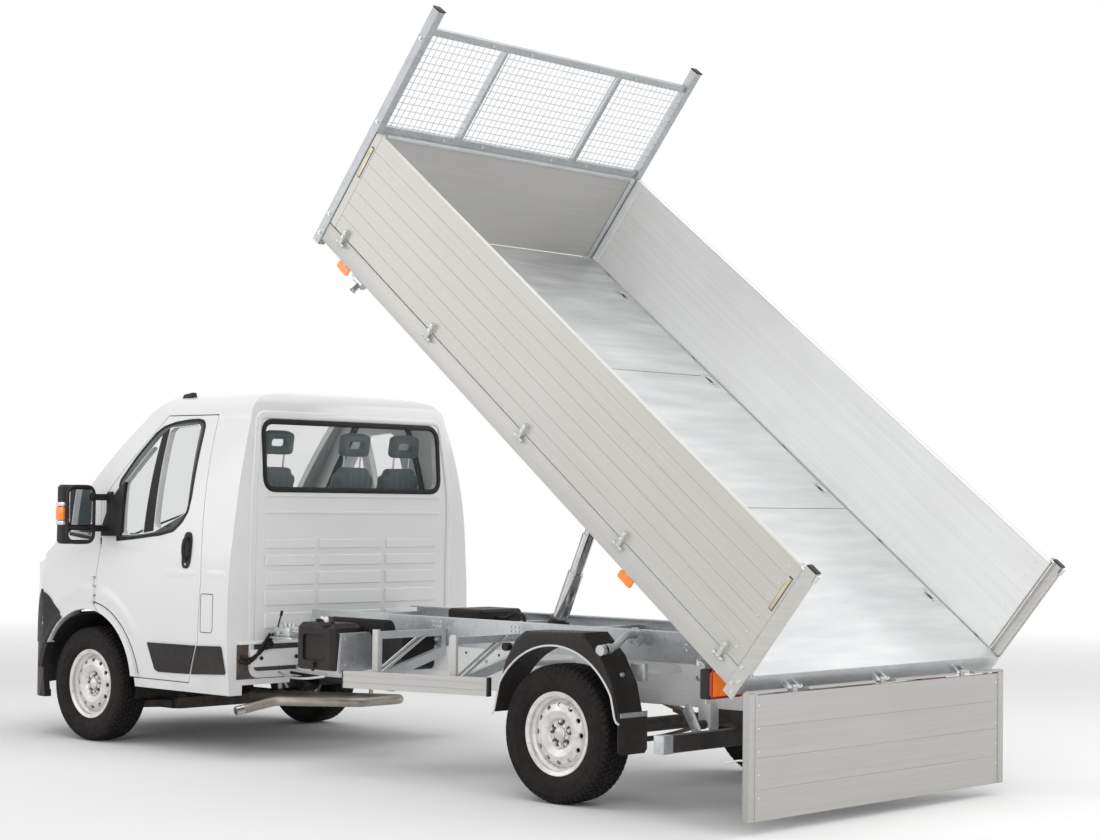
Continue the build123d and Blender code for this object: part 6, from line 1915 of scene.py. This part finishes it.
def place_camera():
    """Camera at the photograph's place, direction and focal length."""
    ahead = Vector((
        math.cos(CAMERA_PITCH) * math.cos(CAMERA_YAW), math.cos(CAMERA_PITCH) * math.sin(CAMERA_YAW),
        math.sin(CAMERA_PITCH),
    ))
    right = Vector((math.sin(CAMERA_YAW), -math.cos(CAMERA_YAW), 0))
    up = right.cross(ahead)
    level_right = right * math.cos(CAMERA_ROLL) + up * math.sin(CAMERA_ROLL)
    level_up = up * math.cos(CAMERA_ROLL) - right * math.sin(CAMERA_ROLL)
    data = bpy.data.cameras.new("camera")
    data.sensor_width = SENSOR_WIDTH
    data.lens = SENSOR_WIDTH * FOCAL_PIXELS / PHOTO_WIDTH
    data.clip_end = 200
    camera = bpy.data.objects.new("camera", data)
    matrix = Matrix.Identity(4)
    for column, axis in enumerate((level_right, level_up, -ahead)):
        matrix.col[column][:3] = axis
    matrix.translation = Vector(CAMERA_PLACE) + Vector((AXLE_X, 0, 0))
    camera.matrix_world = matrix
    bpy.context.scene.collection.objects.link(camera)
    bpy.context.scene.camera = camera


place_camera()

FLOOR_SIZE = 80.0
FLOOR_FADE = (6.5, 16.0)


def build_floor():
    """Plain pale floor that fades to white away from the object."""
    data = bpy.data.meshes.new("floor")
    corners = [(a * FLOOR_SIZE, b * FLOOR_SIZE, 0) for a, b in ((-1, -1), (1, -1), (1, 1), (-1, 1))]
    data.from_pydata(corners, [], [(0, 1, 2, 3)])
    floor = bpy.data.objects.new("floor", data)
    bpy.context.scene.collection.objects.link(floor)
    shader = Shader("studio_floor", (0.93, 0.93, 0.93), 0.9)
    distance = shader.node("ShaderNodeVectorMath", Vector=shader.place)
    distance.operation = "LENGTH"
    share = shader.spread(distance.outputs["Value"], FLOOR_FADE[0], FLOOR_FADE[1], 0, 1)
    white = shader.node("ShaderNodeEmission")
    white.inputs["Strength"].default_value = 1.0
    mix = shader.node("ShaderNodeMixShader", Fac=share)
    shader.tree.links.new(shader.surface.outputs[0], mix.inputs[1])
    shader.tree.links.new(white.outputs[0], mix.inputs[2])
    output = next(n for n in shader.tree.nodes if n.type == "OUTPUT_MATERIAL")
    shader.tree.links.new(mix.outputs[0], output.inputs["Surface"])
    data.materials.append(shader.material)


build_floor()

WORLD_LIGHT = 0.54


def build_world():
    """Soft light all round, and a white background for the camera, metal and glass."""
    world = bpy.data.worlds.new("studio")
    bpy.context.scene.world = world
    world.use_nodes = True
    tree = world.node_tree
    background = tree.nodes["Background"]
    background.inputs["Color"].default_value = (1, 1, 1, 1)
    paths = tree.nodes.new("ShaderNodeLightPath")
    seen = tree.nodes.new("ShaderNodeMath")
    seen.operation = "MAXIMUM"
    tree.links.new(paths.outputs["Is Camera Ray"], seen.inputs[0])
    tree.links.new(paths.outputs["Is Transmission Ray"], seen.inputs[1])
    glossy = tree.nodes.new("ShaderNodeMath")
    glossy.operation = "MAXIMUM"
    tree.links.new(seen.outputs[0], glossy.inputs[0])
    tree.links.new(paths.outputs["Is Glossy Ray"], glossy.inputs[1])
    strength = tree.nodes.new("ShaderNodeMapRange")
    strength.inputs["To Min"].default_value = WORLD_LIGHT
    strength.inputs["To Max"].default_value = 1.0
    tree.links.new(glossy.outputs[0], strength.inputs["Value"])
    tree.links.new(strength.outputs["Result"], background.inputs["Strength"])


build_world()

# Softboxes, columns: name, place, what it faces, width, height, watts
SOFTBOXES = (
    ("overhead", (-0.5, 0.5, 9.0), (0, 0, 1.0), 10.0, 8.0, 300),
    ("key", (-7.5, 8.5, 6.5), (-0.8, 0, 1.4), 5.0, 5.0, 190),
    ("fill", (7.0, 8.0, 4.5), (0.8, 0, 1.2), 5.0, 5.0, 100),
    ("back", (-10.0, 2.5, 3.6), (-1.4, 0, 1.4), 4.0, 4.0, 150),
    ("rim", (-6.0, -8.0, 6.0), (-1.5, 0, 1.8), 5.0, 5.0, 210),
)


def build_lights():
    """Softboxes round the object."""
    for name, place, target, width, height, watts in SOFTBOXES:
        data = bpy.data.lights.new(name, "AREA")
        data.shape = "RECTANGLE"
        data.size = width
        data.size_y = height
        data.energy = watts
        light = bpy.data.objects.new(name, data)
        light.location = place
        light.rotation_euler = (Vector(target) - Vector(place)).to_track_quat("-Z", "Y").to_euler()
        bpy.context.scene.collection.objects.link(light)


build_lights()
bpy.context.scene.view_settings.view_transform = "Standard"
